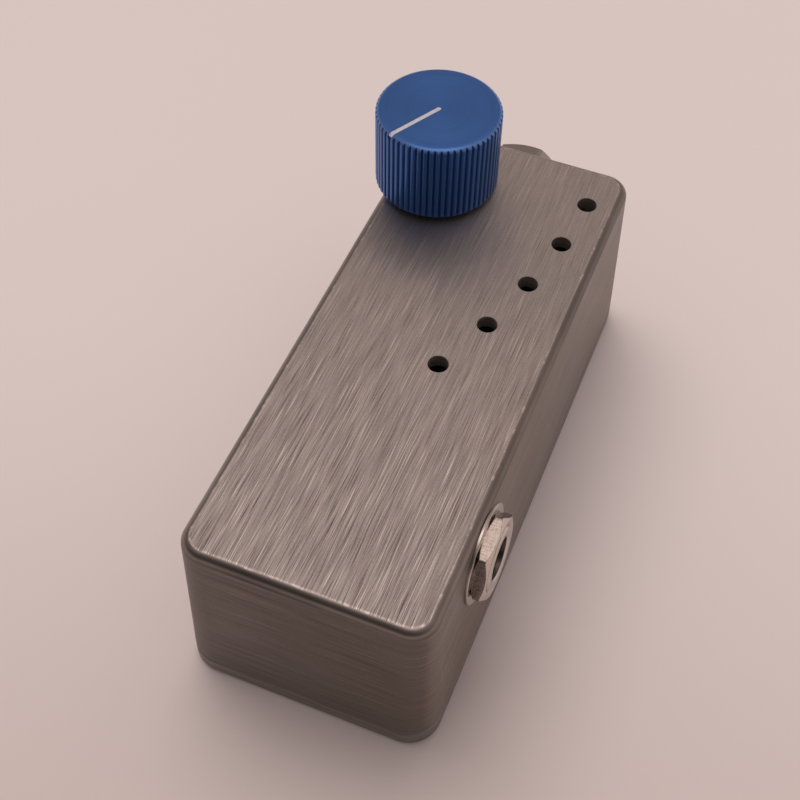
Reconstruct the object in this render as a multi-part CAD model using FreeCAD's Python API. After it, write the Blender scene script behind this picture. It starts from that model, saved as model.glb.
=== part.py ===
import FreeCAD, Part
import math
import os

# Small tube buffer amplifier in a die-cast aluminium case.
# Millimetres. +X is the wall that carries the input jack, +Y is the long way towards the power
# socket and the knob, +Z is up. The origin is the centre of the underside, on which it stands.

# ---------------------------------------------------------------- driving dimensions
CASE_L = 92.6            # outer length at the seam, along Y
CASE_W = 38.5            # outer width at the seam, along X
CASE_H = 31.0            # outer height with the lid
LID_H = 3.2              # height of the seam between lid and case
DRAFT = 2.15             # casting draft of the four walls, degrees
WALL = 2.2               # wall and top thickness
CORNER_R = 4.9           # vertical corner radius at the seam
TOP_R = 1.5              # rounding round the top face
LID_EDGE_R = 0.8         # rounding round the underside
POST_R = 3.6             # screw posts in the four corners
POST_X, POST_Y = 14.1, 41.2
SCREW_HOLE_R = 1.5       # M3

VENTS = [(13.1, 36.55), (12.0, 26.7), (9.9, 16.75), (6.95, 6.75), (2.97, -3.05)]
VENT_R = 1.5

KNOB_X, KNOB_Y = -11.2, 32.7
KNOB_R = 9.85
KNOB_Z0, KNOB_Z1 = 31.8, 45.75
KNOB_FLUTES = 62
FLUTE_DEPTH = 0.36
KNOB_ROUND = 0.8
POINTER_ANGLE = 241.0    # direction of the pointer from +X, seen from above: fully turned down
POINTER_W = 0.65
SHAFT_R = 3.0
POT_TURN = 300.0         # electrical and mechanical travel of the potentiometer

IN_JACK_Y, IN_JACK_Z = -25.4, 22.6
OUT_JACK_Y, OUT_JACK_Z = -7.4, 16.8      # lower, so that the case hides it from the right, and turned over
JACK_BORE_R = 3.2        # takes a 6.35 mm plug
JACK_THREAD_R = 4.72     # 3/8 inch bushing
JACK_WASHER_R = 7.4
JACK_WASHER_T = 0.45
JACK_NUT_AF = 11.8
JACK_NUT_T = 1.95
JACK_NUT_TURN = 10.0     # where the nut's first corner lies

DC_X, DC_Z = -0.5, 22.8
DC_THREAD_R = 3.95
DC_BORE_R = 2.85         # takes a 5.5 mm barrel plug
DC_PIN_R = 1.05
DC_NUT_AF = 12.0
DC_NUT_T = 3.2
DC_NUT_TURN = -10.0

BOARD_Z0, BOARD_T = 6.4, 1.6
BOARD_X, BOARD_Y0, BOARD_Y1 = 14.6, -36.0, 36.8
LID_FLOOR = 2.0          # inside face of the lid

TUBE_X, TUBE_Z = 9.0, 14.5
TUBE_R = 4.9
TUBE_Y0, TUBE_Y1 = 2.6, 37.2

os.makedirs("parts", exist_ok=True)
ZB = BOARD_Z0 + BOARD_T
TAN = math.tan(math.radians(DRAFT))
COS = math.cos(math.radians(DRAFT))
SIN = math.sin(math.radians(DRAFT))
WALL_N = WALL * COS      # wall thickness square to a drafted wall


# ---------------------------------------------------------------- helpers
def vec(x, y, z):
    return FreeCAD.Vector(x, y, z)


def box(x0, x1, y0, y1, z0, z1):
    return Part.makeBox(x1 - x0, y1 - y0, z1 - z0, vec(x0, y0, z0))


def cyl(r, z0, z1, x=0.0, y=0.0):
    return Part.makeCylinder(r, z1 - z0, vec(x, y, z0))


def rod(r, p, q):
    d = vec(*q) - vec(*p)
    return Part.makeCylinder(r, d.Length, vec(*p), d)


def tube(ro, ri, z0, z1, x=0.0, y=0.0):
    return cyl(ro, z0, z1, x, y).cut(cyl(ri, z0 - 1, z1 + 1, x, y))


def revolve(points, x=0.0, y=0.0):
    """Solid of revolution about a vertical axis; points are (radius, z)."""
    pts = [vec(r, 0, z) for r, z in points]
    pts.append(pts[0])
    s = Part.Face(Part.makePolygon(pts)).revolve(vec(0, 0, 0), vec(0, 0, 1), 360)
    s.translate(vec(x, y, 0))
    return s


def rounded_rect(hx, hy, r, z):
    """Closed wire of a rectangle with rounded corners, counter-clockwise from the +X side."""
    k = r * (1 - math.sqrt(0.5))
    e = []
    e.append(Part.makeLine(vec(hx, -hy + r, z), vec(hx, hy - r, z)))
    e.append(Part.Arc(vec(hx, hy - r, z), vec(hx - k, hy - k, z), vec(hx - r, hy, z)).toShape())
    e.append(Part.makeLine(vec(hx - r, hy, z), vec(-hx + r, hy, z)))
    e.append(Part.Arc(vec(-hx + r, hy, z), vec(-hx + k, hy - k, z), vec(-hx, hy - r, z)).toShape())
    e.append(Part.makeLine(vec(-hx, hy - r, z), vec(-hx, -hy + r, z)))
    e.append(Part.Arc(vec(-hx, -hy + r, z), vec(-hx + k, -hy + k, z), vec(-hx + r, -hy, z)).toShape())
    e.append(Part.makeLine(vec(-hx + r, -hy, z), vec(hx - r, -hy, z)))
    e.append(Part.Arc(vec(hx - r, -hy, z), vec(hx - k, -hy + k, z), vec(hx, -hy + r, z)).toShape())
    return Part.Wire(e)


def drafted(hx, hy, r, z0, z1, top_r=0.0, low_c=0.0, ref=LID_H):
    """Block with rounded corners whose half sizes are given at z=ref and which narrows upwards with the draft.
    The corners are cones, and top_r rounds the top edge all round, as rings round the same axes."""
    cx, cy = hx - r, hy - r

    def wall(z):
        return r - (z - ref) * TAN

    def profile():
        """Section of the wall outside the corner centres, as edges in (distance, z)."""
        e = []

        def line(a, b):
            e.append(Part.makeLine(vec(a[0], 0, a[1]), vec(b[0], 0, b[1])))
        low = (wall(z0), z0)
        if low_c:
            line((wall(z0) - low_c, z0), (wall(z0 + low_c), z0 + low_c))
            low = (wall(z0 + low_c), z0 + low_c)
        if top_r:
            zc = z1 - top_r
            rc = r - (top_r + (zc - ref) * SIN) / COS
            t0 = (rc + top_r * COS, zc + top_r * SIN)
            m = math.radians((DRAFT + 90) / 2)
            line(low, t0)
            e.append(Part.Arc(vec(t0[0], 0, t0[1]), vec(rc + top_r * math.cos(m), 0, zc + top_r * math.sin(m)), vec(rc, 0, z1)).toShape())
            end = (rc, z1)
        else:
            line(low, (wall(z1), z1))
            end = (wall(z1), z1)
        line(end, (0, z1))
        line((0, z1), (0, z0))
        line((0, z0), (wall(z0) - low_c, z0))
        return Part.Face(Part.Wire(e))

    pieces = [box(-cx, cx, -cy, cy, z0, z1)]
    for turn, side, reach, span in ((0, cx, cy, 2 * cy), (180, cx, cy, 2 * cy), (90, cy, cx, 2 * cx), (270, cy, cx, 2 * cx)):
        f = profile()
        f.translate(vec(side, -reach, 0))
        s = f.extrude(vec(0, span, 0))
        s.rotate(vec(0, 0, 0), vec(0, 0, 1), turn)
        pieces.append(s)
    for turn, qx, qy in ((0, cx, cy), (90, -cx, cy), (180, -cx, -cy), (270, cx, -cy)):
        s = profile().revolve(vec(0, 0, 0), vec(0, 0, 1), 90)
        s.rotate(vec(0, 0, 0), vec(0, 0, 1), turn)
        s.translate(vec(qx, qy, 0))
        pieces.append(s)
    return pieces[0].multiFuse(pieces[1:]).removeSplitter()


def plate(hx, hy, r, z0, z1):
    return Part.Face(rounded_rect(hx, hy, r, z0)).extrude(vec(0, 0, z1 - z0))


def hexagon(af, z0, z1, turn=0.0, x=0.0, y=0.0):
    r = af / math.sqrt(3.0)
    pts = [vec(x + r * math.cos(math.radians(60 * i + turn)), y + r * math.sin(math.radians(60 * i + turn)), z0)
           for i in range(6)]
    pts.append(pts[0])
    return Part.Face(Part.makePolygon(pts)).extrude(vec(0, 0, z1 - z0))


def hex_nut(af, bore, z0, z1, turn=0.0, x=0.0, y=0.0, outer=0.965, inner=0.965):
    """Hexagon nut with its corners chamfered; outer and inner are the two faces' circles as parts of half the width."""
    rc = af / math.sqrt(3.0) + 0.05
    r0, r1 = af / 2 * inner, af / 2 * outer
    t = math.tan(math.radians(30))
    prof = [(0, z0), (r0, z0), (rc, z0 + (rc - r0) * t), (rc, z1 - (rc - r1) * t), (r1, z1), (0, z1)]
    nut = hexagon(af, z0, z1, turn, x, y).common(revolve(prof, x, y))
    nut = nut.cut(cyl(bore, z0 - 1, z1 + 1, x, y))
    nut = nut.cut(Part.makeCone(bore, bore + 0.35, 0.35, vec(x, y, z1 - 0.35)))
    return nut


def strip(points, t, x0, x1):
    """Bent sheet-metal leaf: a line of (y, z) points thickened by t, as wide as x0..x1."""
    n = len(points)
    left, right = [], []
    for i in range(n):
        a = points[max(i - 1, 0)]
        b = points[i]
        c = points[min(i + 1, n - 1)]
        d1 = (b[0] - a[0], b[1] - a[1]) if i > 0 else (c[0] - b[0], c[1] - b[1])
        d2 = (c[0] - b[0], c[1] - b[1]) if i < n - 1 else d1
        l1, l2 = math.hypot(*d1), math.hypot(*d2)
        n1 = (-d1[1] / l1, d1[0] / l1)
        n2 = (-d2[1] / l2, d2[0] / l2)
        m = (n1[0] + n2[0], n1[1] + n2[1])
        k = 1.0 / (m[0] * n1[0] + m[1] * n1[1])
        off = (m[0] * k * t / 2, m[1] * k * t / 2)
        left.append(vec(x0, b[0] + off[0], b[1] + off[1]))
        right.append(vec(x0, b[0] - off[0], b[1] - off[1]))
    pts = left + right[::-1]
    pts.append(pts[0])
    return Part.Face(Part.makePolygon(pts)).extrude(vec(x1 - x0, 0, 0))


def route(points):
    """Wire of straight runs joined by tangent arcs, each as large as its two runs allow."""
    p = [vec(*q) for q in points]
    edges, start = [], p[0]
    for i in range(1, len(p) - 1):
        d1 = p[i] - p[i - 1]
        d2 = p[i + 1] - p[i]
        cut = 0.45 * min(d1.Length, d2.Length)
        d1.normalize()
        d2.normalize()
        turn = math.acos(max(-1.0, min(1.0, d1.dot(d2))))
        radius = cut / math.tan(turn / 2)
        bis = d2 - d1
        bis.normalize()
        centre = p[i] + bis * (radius / math.cos(turn / 2))
        a, b = p[i] - d1 * cut, p[i] + d2 * cut
        edges.append(Part.makeLine(start, a))
        edges.append(Part.Arc(a, centre - bis * radius, b).toShape())
        start = b
    edges.append(Part.makeLine(start, p[-1]))
    return Part.Wire(edges)


def pipe(points, r):
    path = route(points)
    ring = Part.Wire([Part.makeCircle(r, vec(*points[0]), vec(*points[1]) - vec(*points[0]))])
    s = path.makePipeShell([ring], True, False)
    ratio = s.Volume / (math.pi * r * r * path.Length)
    if abs(ratio - 1) > 0.02:
        print("pipe volume is off", points, ratio)
    return s


def fuse(shapes):
    s = shapes[0]
    if len(shapes) > 1:
        s = s.multiFuse(shapes[1:])
    return s.removeSplitter()


def wall_place(p, w, u):
    """Placement whose local x, y, z are u, w x u and w: along the wall, up the wall and out of it."""
    v = w.cross(u)
    return FreeCAD.Placement(FreeCAD.Matrix(u.x, v.x, w.x, p.x, u.y, v.y, w.y, p.y, u.z, v.z, w.z, p.z, 0, 0, 0, 1))


def put(shape, placement):
    s = shape.copy()
    s.Placement = placement.multiply(s.Placement)
    return s


nodes = {}


def node(name, *shapes):
    """One file of one or more separate solids."""
    solids = []
    for s in shapes:
        if len(s.Solids) != 1:
            print(name, "piece has", len(s.Solids), "solids")
        for one in s.Solids:
            if not one.isValid():
                print(name, "is not valid")
            solids.append(one)
    nodes[name] = solids[0] if len(solids) == 1 else Part.makeCompound(solids)


# ---------------------------------------------------------------- where the sockets sit on the drafted walls
def half_w(z):
    return CASE_W / 2 - (z - LID_H) * TAN


def half_l(z):
    return CASE_L / 2 - (z - LID_H) * TAN


IN_PLACE = wall_place(vec(half_w(IN_JACK_Z), IN_JACK_Y, IN_JACK_Z), vec(COS, 0, SIN), vec(0, 1, 0))
OUT_PLACE = wall_place(vec(-half_w(OUT_JACK_Z), OUT_JACK_Y, OUT_JACK_Z), vec(-COS, 0, SIN), vec(0, 1, 0))
DC_PLACE = wall_place(vec(DC_X, half_l(DC_Z), DC_Z), vec(0, COS, SIN), vec(-1, 0, 0))

# ---------------------------------------------------------------- case
shell = drafted(CASE_W / 2, CASE_L / 2, CORNER_R, LID_H, CASE_H, TOP_R, 0.22)
cavity = drafted(CASE_W / 2 - WALL, CASE_L / 2 - WALL, 3.0, LID_H - 1.0, CASE_H - WALL)
shell = shell.cut(cavity)
shell = shell.multiFuse([cyl(POST_R, LID_H, CASE_H - WALL + 0.5, sx * POST_X, sy * POST_Y) for sx in (-1, 1) for sy in (-1, 1)])
cuts = [cyl(SCREW_HOLE_R, LID_H - 1, LID_H + 12, sx * POST_X, sy * POST_Y) for sx in (-1, 1) for sy in (-1, 1)]
for vx, vy in VENTS:
    cuts.append(cyl(VENT_R, CASE_H - 4, CASE_H + 1, vx, vy))
    cuts.append(Part.makeCone(VENT_R, VENT_R + 0.2, 0.2, vec(vx, vy, CASE_H - 0.08)))
cuts.append(cyl(3.6, CASE_H - 4, CASE_H + 1, KNOB_X, KNOB_Y))
# the jack holes are bored level, so each is 0.15 mm wider than the bushing that stands square to its wall
for sx, y, z in ((1, IN_JACK_Y, IN_JACK_Z - WALL / 2 * SIN), (-1, OUT_JACK_Y, OUT_JACK_Z - WALL / 2 * SIN)):
    cuts.append(rod(4.9, (sx * 12.0, y, z), (sx * 25.0, y, z)))
cuts.append(put(cyl(4.05, -WALL - 2, 2), DC_PLACE))
shell = shell.cut(cuts)
node("enclosure_body", shell)

lid = plate(CASE_W / 2, CASE_L / 2, CORNER_R, 0, LID_H)
under = [e for e in lid.Edges if e.BoundBox.ZMax < 1e-6]
lid = lid.makeFillet(LID_EDGE_R, under)
over = [e for e in lid.Edges if e.BoundBox.ZMin > LID_H - 1e-6]
lid = lid.makeChamfer(0.22, over)
lip_x, lip_y = CASE_W / 2 - WALL - 0.25, CASE_L / 2 - WALL - 0.25
lip = plate(lip_x, lip_y, 2.8, LID_H - 0.5, LID_H + 1.5)
for sx in (-1, 1):
    for sy in (-1, 1):
        lip = lip.cut(cyl(POST_R + 0.3, LID_H, LID_H + 3, sx * POST_X, sy * POST_Y))
        x0, x1 = sorted((sx * (POST_X - 0.5), sx * 30))
        y0, y1 = sorted((sy * (POST_Y - 0.5), sy * 60))
        lip = lip.cut(box(x0, x1, y0, y1, LID_H, LID_H + 3))
lid = lid.fuse(lip).removeSplitter()
pocket = plate(lip_x - 1.3, lip_y - 1.3, 2.0, LID_FLOOR, LID_H + 4)
for sx in (-1, 1):
    for sy in (-1, 1):
        pocket = pocket.cut(cyl(POST_R + 0.3, 0, 10, sx * POST_X, sy * POST_Y))
        x0, x1 = sorted((sx * (POST_X - 0.5), sx * 30))
        y0, y1 = sorted((sy * (POST_Y - 0.5), sy * 60))
        pocket = pocket.cut(box(x0, x1, y0, y1, 0, 10))
lid = lid.cut(pocket)
SINK_R, SINK_H = 3.0, 1.4
for sx in (-1, 1):
    for sy in (-1, 1):
        lid = lid.cut([cyl(1.65, -1, 6, sx * POST_X, sy * POST_Y),
                       Part.makeCone(SINK_R, 1.6, SINK_H, vec(sx * POST_X, sy * POST_Y, 0.12)),
                       cyl(SINK_R, -1, 0.13, sx * POST_X, sy * POST_Y)])
node("bottom_lid", lid)


def lid_screw(x, y):
    body = revolve([(0, 0.2), (2.78, 0.2), (2.78, 0.26), (1.45, 1.6), (1.45, 11.6), (1.15, 12.0), (0, 12.0)], x, y)
    slot = [box(x - 1.6, x + 1.6, y - 0.32, y + 0.32, 0, 1.3), box(x - 0.32, x + 0.32, y - 1.6, y + 1.6, 0, 1.3)]
    return body.cut(slot)


node("lid_screws", *[lid_screw(sx * POST_X, sy * POST_Y) for sx in (-1, 1) for sy in (-1, 1)])

# ---------------------------------------------------------------- knob
step = 2 * math.pi / KNOB_FLUTES
prof = []
for i in range(KNOB_FLUTES):
    a = i * step
    for frac, r in ((-0.30, KNOB_R), (-0.10, KNOB_R + 0.0), (0.10, KNOB_R + 0.0), (0.30, KNOB_R),
                    (0.42, KNOB_R - 0.62 * FLUTE_DEPTH), (0.50, KNOB_R - FLUTE_DEPTH), (0.58, KNOB_R - 0.62 * FLUTE_DEPTH)):
        prof.append(vec(KNOB_X + r * math.cos(a + frac * step), KNOB_Y + r * math.sin(a + frac * step), KNOB_Z0))
prof.append(prof[0])
fluted = Part.Face(Part.makePolygon(prof)).extrude(vec(0, 0, KNOB_Z1 - KNOB_Z0))
turned = revolve([(0, KNOB_Z0), (KNOB_R - 0.35, KNOB_Z0), (KNOB_R + 0.05, KNOB_Z0 + 0.4), (KNOB_R + 0.05, KNOB_Z1 - KNOB_ROUND - 0.05),
                  (KNOB_R - 0.13 * KNOB_ROUND, KNOB_Z1 - 0.5 * KNOB_ROUND), (KNOB_R - 0.5 * KNOB_ROUND, KNOB_Z1 - 0.13 * KNOB_ROUND),
                  (KNOB_R - KNOB_ROUND, KNOB_Z1), (0, KNOB_Z1)], KNOB_X, KNOB_Y)
knob = fluted.common(turned)
knob = knob.cut([cyl(7.3, KNOB_Z0 - 1, KNOB_Z0 + 3.2, KNOB_X, KNOB_Y),
                 cyl(SHAFT_R + 0.04, KNOB_Z0 - 1, 43.7, KNOB_X, KNOB_Y)])
pdir = (math.cos(math.radians(POINTER_ANGLE)), math.sin(math.radians(POINTER_ANGLE)))
back = (-pdir[0], -pdir[1])
SET_Z = 38.2
knob = knob.cut(rod(1.55, (KNOB_X + back[0] * 2, KNOB_Y + back[1] * 2, SET_Z),
                    (KNOB_X + back[0] * 12, KNOB_Y + back[1] * 12, SET_Z)))
GROOVE = 0.22


def pointer_block(z0, z1, w, r1):
    b = box(0.1, r1, -w / 2, w / 2, z0, z1)
    b = b.fuse(cyl(w / 2, z0, z1, 0.1, 0)).removeSplitter()
    b.rotate(vec(0, 0, 0), vec(0, 0, 1), POINTER_ANGLE)
    b.translate(vec(KNOB_X, KNOB_Y, 0))
    return b


# the groove runs out through the rounded rim
floor = revolve([(0, KNOB_Z1 - GROOVE), (KNOB_R - KNOB_ROUND - 0.1, KNOB_Z1 - GROOVE),
                 (KNOB_R + 0.25, KNOB_Z1 - KNOB_ROUND - GROOVE - 0.15), (KNOB_R + 3, KNOB_Z1 - 3), (KNOB_R + 3, KNOB_Z1 + 1), (0, KNOB_Z1 + 1)],
                KNOB_X, KNOB_Y)
groove = pointer_block(KNOB_Z1 - 3, KNOB_Z1 + 0.5, POINTER_W, KNOB_R + 1).common(floor)
skin = revolve([(0, KNOB_Z1 - 5), (KNOB_R - 0.5, KNOB_Z1 - 5), (KNOB_R - 0.5, KNOB_Z1 - 0.12),
                (KNOB_R - KNOB_ROUND, KNOB_Z1 - 0.03), (0, KNOB_Z1 - 0.03)], KNOB_X, KNOB_Y)
pointer = groove.common(skin)
knob = knob.cut(groove)
node("knob", knob)
node("knob_pointer", pointer)

screw = rod(1.5, (KNOB_X + back[0] * (SHAFT_R + 0.05), KNOB_Y + back[1] * (SHAFT_R + 0.05), SET_Z),
            (KNOB_X + back[0] * 8.2, KNOB_Y + back[1] * 8.2, SET_Z))
socket = hexagon(1.5, 0, 1.8)
socket.Placement = FreeCAD.Placement(vec(KNOB_X + back[0] * 6.5, KNOB_Y + back[1] * 6.5, SET_Z),
                                     FreeCAD.Rotation(vec(0, 0, 1), vec(back[0], back[1], 0)))
node("knob_set_screw", screw.cut(socket))

# ---------------------------------------------------------------- potentiometer under the knob
top_in = CASE_H - WALL
shaft = revolve([(0, 25.2), (1.5, 25.2), (1.5, 27.5), (SHAFT_R, 27.5), (SHAFT_R, 43.2), (SHAFT_R - 0.4, 43.6), (0, 43.6)], KNOB_X, KNOB_Y)
node("pot_shaft", shaft)
LUG = math.radians(9)


def sector(r0, r1, a0, a1, z0, z1):
    """Sector of a ring between two angles in degrees."""
    a0, a1 = math.radians(a0), math.radians(a1)
    am = (a0 + a1) / 2

    def p(r, a):
        return vec(KNOB_X + r * math.cos(a), KNOB_Y + r * math.sin(a), z0)
    w = Part.Wire([Part.Arc(p(r1, a0), p(r1, am), p(r1, a1)).toShape(), Part.makeLine(p(r1, a1), p(r0, a1)),
                   Part.Arc(p(r0, a1), p(r0, am), p(r0, a0)).toShape(), Part.makeLine(p(r0, a0), p(r1, a0))])
    return Part.Face(w).extrude(vec(0, 0, z1 - z0))


rotor = fuse([cyl(3.2, 25.2, 27.45, KNOB_X, KNOB_Y), sector(2.5, 4.0, POINTER_ANGLE - 9, POINTER_ANGLE + 9, 25.2, 27.45)])
rotor = rotor.cut(cyl(1.52, 24, 28, KNOB_X, KNOB_Y))
node("pot_rotor", rotor)
wiper = tube(3.1, 1.6, 24.95, 25.17, KNOB_X, KNOB_Y)
finger = sector(2.2, 3.0, POINTER_ANGLE + 150, POINTER_ANGLE + 200, 24.5, 25.0)
node("pot_wiper", fuse([wiper, finger]))
bush = fuse([box(KNOB_X - 4.75, KNOB_X + 4.75, KNOB_Y - 5.6, KNOB_Y + 4.9, 28.15, top_in), cyl(3.5, top_in - 0.2, 33.6, KNOB_X, KNOB_Y)])
node("pot_bushing", bush.cut(cyl(SHAFT_R + 0.04, 27, 35, KNOB_X, KNOB_Y)))
node("pot_washer", tube(5.6, 3.6, CASE_H, CASE_H + 0.5, KNOB_X, KNOB_Y))
node("pot_nut", hex_nut(10.0, 3.53, CASE_H + 0.5, CASE_H + 2.5, 12, KNOB_X, KNOB_Y))
housing = box(KNOB_X - 4.75, KNOB_X + 4.75, KNOB_Y - 6.2, KNOB_Y + 4.9, 24.4, 28.15)
housing = housing.cut([cyl(4.2, 24, 27.6, KNOB_X, KNOB_Y), cyl(SHAFT_R + 0.25, 27, 29, KNOB_X, KNOB_Y)])
stop = sector(3.35, 4.6, POINTER_ANGLE + 10, POINTER_ANGLE + 50, 25.25, 27.8)
node("pot_housing", fuse([housing, stop]))
track = box(KNOB_X - 4.75, KNOB_X + 4.75, KNOB_Y - 6.2, KNOB_Y + 4.9, 23.4, 24.4)
node("pot_track", track)
pins = []
for dx in (-2.5, 0, 2.5):
    leg = strip([(KNOB_Y - 4.0, 23.25), (KNOB_Y - 6.9, 23.25), (KNOB_Y - 6.9, 19.8)], 0.3, KNOB_X + dx - 0.45, KNOB_X + dx + 0.45)
    pins.append(leg)
node("pot_terminals", *pins)


# ---------------------------------------------------------------- jack sockets
def jack(prefix, place, nut_turn):
    """Open-frame 6.35 mm jack in wall coordinates: x along the wall, y up it, z out of it."""
    zw = JACK_WASHER_T
    zn = zw + JACK_NUT_T
    inner = -WALL_N
    out = {}
    bushing = revolve([(JACK_BORE_R, inner - 1.0), (JACK_THREAD_R, inner - 1.0), (JACK_THREAD_R, zn - 0.15),
                       (JACK_THREAD_R - 0.3, zn + 0.15), (JACK_BORE_R + 0.25, zn + 0.15), (JACK_BORE_R, zn - 0.1)])
    collar = tube(5.6, JACK_BORE_R, inner - 1.9, inner - 1.0)
    out["bushing"] = [fuse([bushing, collar])]
    washer = revolve([(4.95, 0), (JACK_WASHER_R, 0), (JACK_WASHER_R, zw - 0.15), (JACK_WASHER_R - 0.15, zw), (4.95, zw)])
    out["washer"] = [washer]
    out["nut"] = [hex_nut(JACK_NUT_AF, JACK_THREAD_R + 0.03, zw, zn, nut_turn, outer=0.98, inner=1.015)]
    frame = [box(-7.2, 7.2, -7.4, 6.0, inner - 1.0, inner), box(-4.2, 4.2, -7.4, -6.6, -15.0, inner - 0.5),
             box(-4.2, -1.8, -11.2, -7.0, -15.0, -14.6)]
    frame = fuse(frame).cut([cyl(JACK_THREAD_R + 0.03, -8, 2), rod(0.55, (-3.0, -10.2, -17), (-3.0, -10.2, -13))]
                            + [rod(0.95, (0, -9, z), (0, -3, z)) for z in (-9.0, -12.2)])
    out["frame"] = [frame]
    waf1 = box(-4.2, 4.2, -6.6, -5.7, -14.2, -6.2).cut([rod(0.95, (0, -9, z), (0, -3, z)) for z in (-9.0, -12.2)])
    waf2 = box(-4.2, 4.2, -5.4, -4.5, -14.2, -6.2).cut([rod(0.95, (0, -9, z), (0, -3, z)) for z in (-9.0, -12.2)])
    out["insulators"] = [waf1, waf2]
    root = fuse([box(-3.2, 4.2, -5.7, -5.4, -14.2, -6.5), box(1.9, 4.2, -5.7, -5.4, -15.9, -14.0), box(1.9, 4.2, -11.2, -5.4, -15.9, -15.6)])
    out["tip_terminal"] = [root.cut([rod(0.95, (0, -9, z), (0, -3, z)) for z in (-9.0, -12.2)] + [rod(0.55, (3.0, -10.2, -17), (3.0, -10.2, -14))])]
    out["tip_spring"] = [strip([(-5.55, -14.3), (-5.35, -18.0), (-4.1, -21.6), (-1.75, -24.7), (-2.7, -26.6)], 0.3, -1.6, 1.6)]
    out["rivets"] = [fuse([rod(0.9, (0, -7.4, z), (0, -4.5, z)), rod(1.6, (0, -7.8, z), (0, -7.4, z)), rod(1.6, (0, -4.5, z), (0, -4.1, z))])
                     for z in (-9.0, -12.2)]
    for part, shapes in out.items():
        node(prefix + "_" + part, *[put(s, place) for s in shapes])


jack("input_jack", IN_PLACE, JACK_NUT_TURN)
jack("output_jack", OUT_PLACE, 24.0)

# ---------------------------------------------------------------- power socket in the back wall
inner = -WALL_N
dc_shell = revolve([(DC_BORE_R, inner - 1.2), (DC_BORE_R, DC_NUT_T + 0.35), (DC_BORE_R + 0.2, DC_NUT_T + 0.5), (DC_THREAD_R - 0.25, DC_NUT_T + 0.5),
                    (DC_THREAD_R, DC_NUT_T + 0.25), (DC_THREAD_R, inner), (5.2, inner), (5.2, inner - 1.2), (5.0, inner - 1.4), (5.0, -12.0),
                    (4.3, -12.0), (4.3, inner - 1.2)])
node("dc_jack_shell", put(dc_shell, DC_PLACE))
node("dc_jack_nut", put(hex_nut(DC_NUT_AF, DC_THREAD_R + 0.03, 0, DC_NUT_T, DC_NUT_TURN), DC_PLACE))
disc = cyl(4.27, -12.0, -10.8).cut([cyl(0.72, -13, -10), box(-1.25, 1.25, -4.05, -3.7, -13, -10)])
node("dc_jack_insulator", put(disc, DC_PLACE))
pin = revolve([(0, -10.8), (DC_PIN_R, -10.8), (DC_PIN_R, 1.9), (0.7, 2.3), (0, 2.3)])
pin = fuse([pin, cyl(0.7, -15.0, -10.7)])
node("dc_jack_pin", put(pin, DC_PLACE))
node("dc_jack_spring", put(strip([(-3.87, -10.4), (-3.6, -8.2), (-2.62, -6.2), (-3.1, -4.7)], 0.24, -1.1, 1.1), DC_PLACE))
node("dc_jack_terminal", put(box(-1.1, 1.1, -3.99, -3.75, -14.6, -10.47), DC_PLACE))

# ---------------------------------------------------------------- circuit board with its parts
pads = []                # (x, y, lead radius) of every lead that goes through the board
LEAD = 0.3


def leads_down(points, r=LEAD):
    for x, y, z in points:
        pads.append((x, y, r))
    return [cyl(r, BOARD_Z0 - 0.9, z, x, y) for x, y, z in points]


def resistor(x, y, half=4.8, r=1.1, body=3.2, z=None):
    """Axial part along Y, its two leads bent down into the board."""
    z = ZB + r + 0.35 if z is None else z
    rad = 0.8
    lead = []
    for s in (-1, 1):
        bend = Part.makeTorus(rad, LEAD, vec(x, y + s * (half - rad), z - rad), vec(1, 0, 0), 0, 360)
        q = box(x - 1, x + 1, *sorted((y + s * (half - rad), y + s * (half + 1))), z - rad, z + 1)
        lead += [rod(LEAD, (x, y, z), (x, y + s * (half - rad), z)), bend.common(q), cyl(LEAD, BOARD_Z0 - 0.9, z - rad, x, y + s * half)]
        pads.append((x, y + s * half, LEAD))
    prof = [(0, -body), (r * 0.75, -body), (r, -body + 0.35), (r, -body + 1.3), (r * 0.86, -body + 1.7), (r * 0.86, body - 1.7),
            (r, body - 1.3), (r, body - 0.35), (r * 0.75, body), (0, body)]
    b = revolve(prof)
    b.rotate(vec(0, 0, 0), vec(1, 0, 0), 90)
    b.translate(vec(x, y, z))
    return fuse([b] + lead)


RES = [(12.0, -24.8), (9.2, -24.8), (6.4, -24.8), (-4.9, -29.4), (12.0, -12.0), (9.2, -12.0), (6.4, -12.0), (3.4, -12.0)]
node("resistors", *[resistor(x, y) for x, y in RES])


def diode(x, y):
    d = resistor(x, y, half=5.0, r=1.3, body=2.5)
    return d


node("protection_diode", diode(-7.6, -29.0))


def film_cap(x, y, w=7.2, t=2.6, h=6.6):
    b = box(x - w / 2, x + w / 2, y - t / 2, y + t / 2, ZB + 0.3, ZB + h)
    b = b.makeFillet(0.35, [e for e in b.Edges if e.BoundBox.ZMax > ZB + 1])
    feet = [box(x + s * 3.2 - 0.3, x + s * 3.2 + 0.3, y - t / 2 + 0.3, y + t / 2 - 0.3, ZB, ZB + 0.6) for s in (-1, 1)]
    return fuse([b] + feet + leads_down([(x - 2.5, y, ZB + 0.6), (x + 2.5, y, ZB + 0.6)]))


node("film_capacitors", film_cap(-10.6, 14.6), film_cap(-10.6, 18.2), film_cap(-10.6, 21.8), film_cap(-0.9, 15.6))


def can_cap(x, y, r, h, gap=1.25):
    body = revolve([(0, ZB + 0.2), (r - 0.6, ZB + 0.2), (r - 0.2, ZB + 0.5), (r, ZB + 0.9), (r, ZB + 1.5), (r - 0.35, ZB + 1.9), (r, ZB + 2.3),
                    (r, ZB + h - 0.5), (r - 0.5, ZB + h), (r - 1.0, ZB + h), (r - 1.0, ZB + h - 0.15), (0, ZB + h - 0.15)], x, y)
    return fuse([body] + leads_down([(x - gap, y, ZB + 0.5), (x + gap, y, ZB + 0.5)]))


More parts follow.
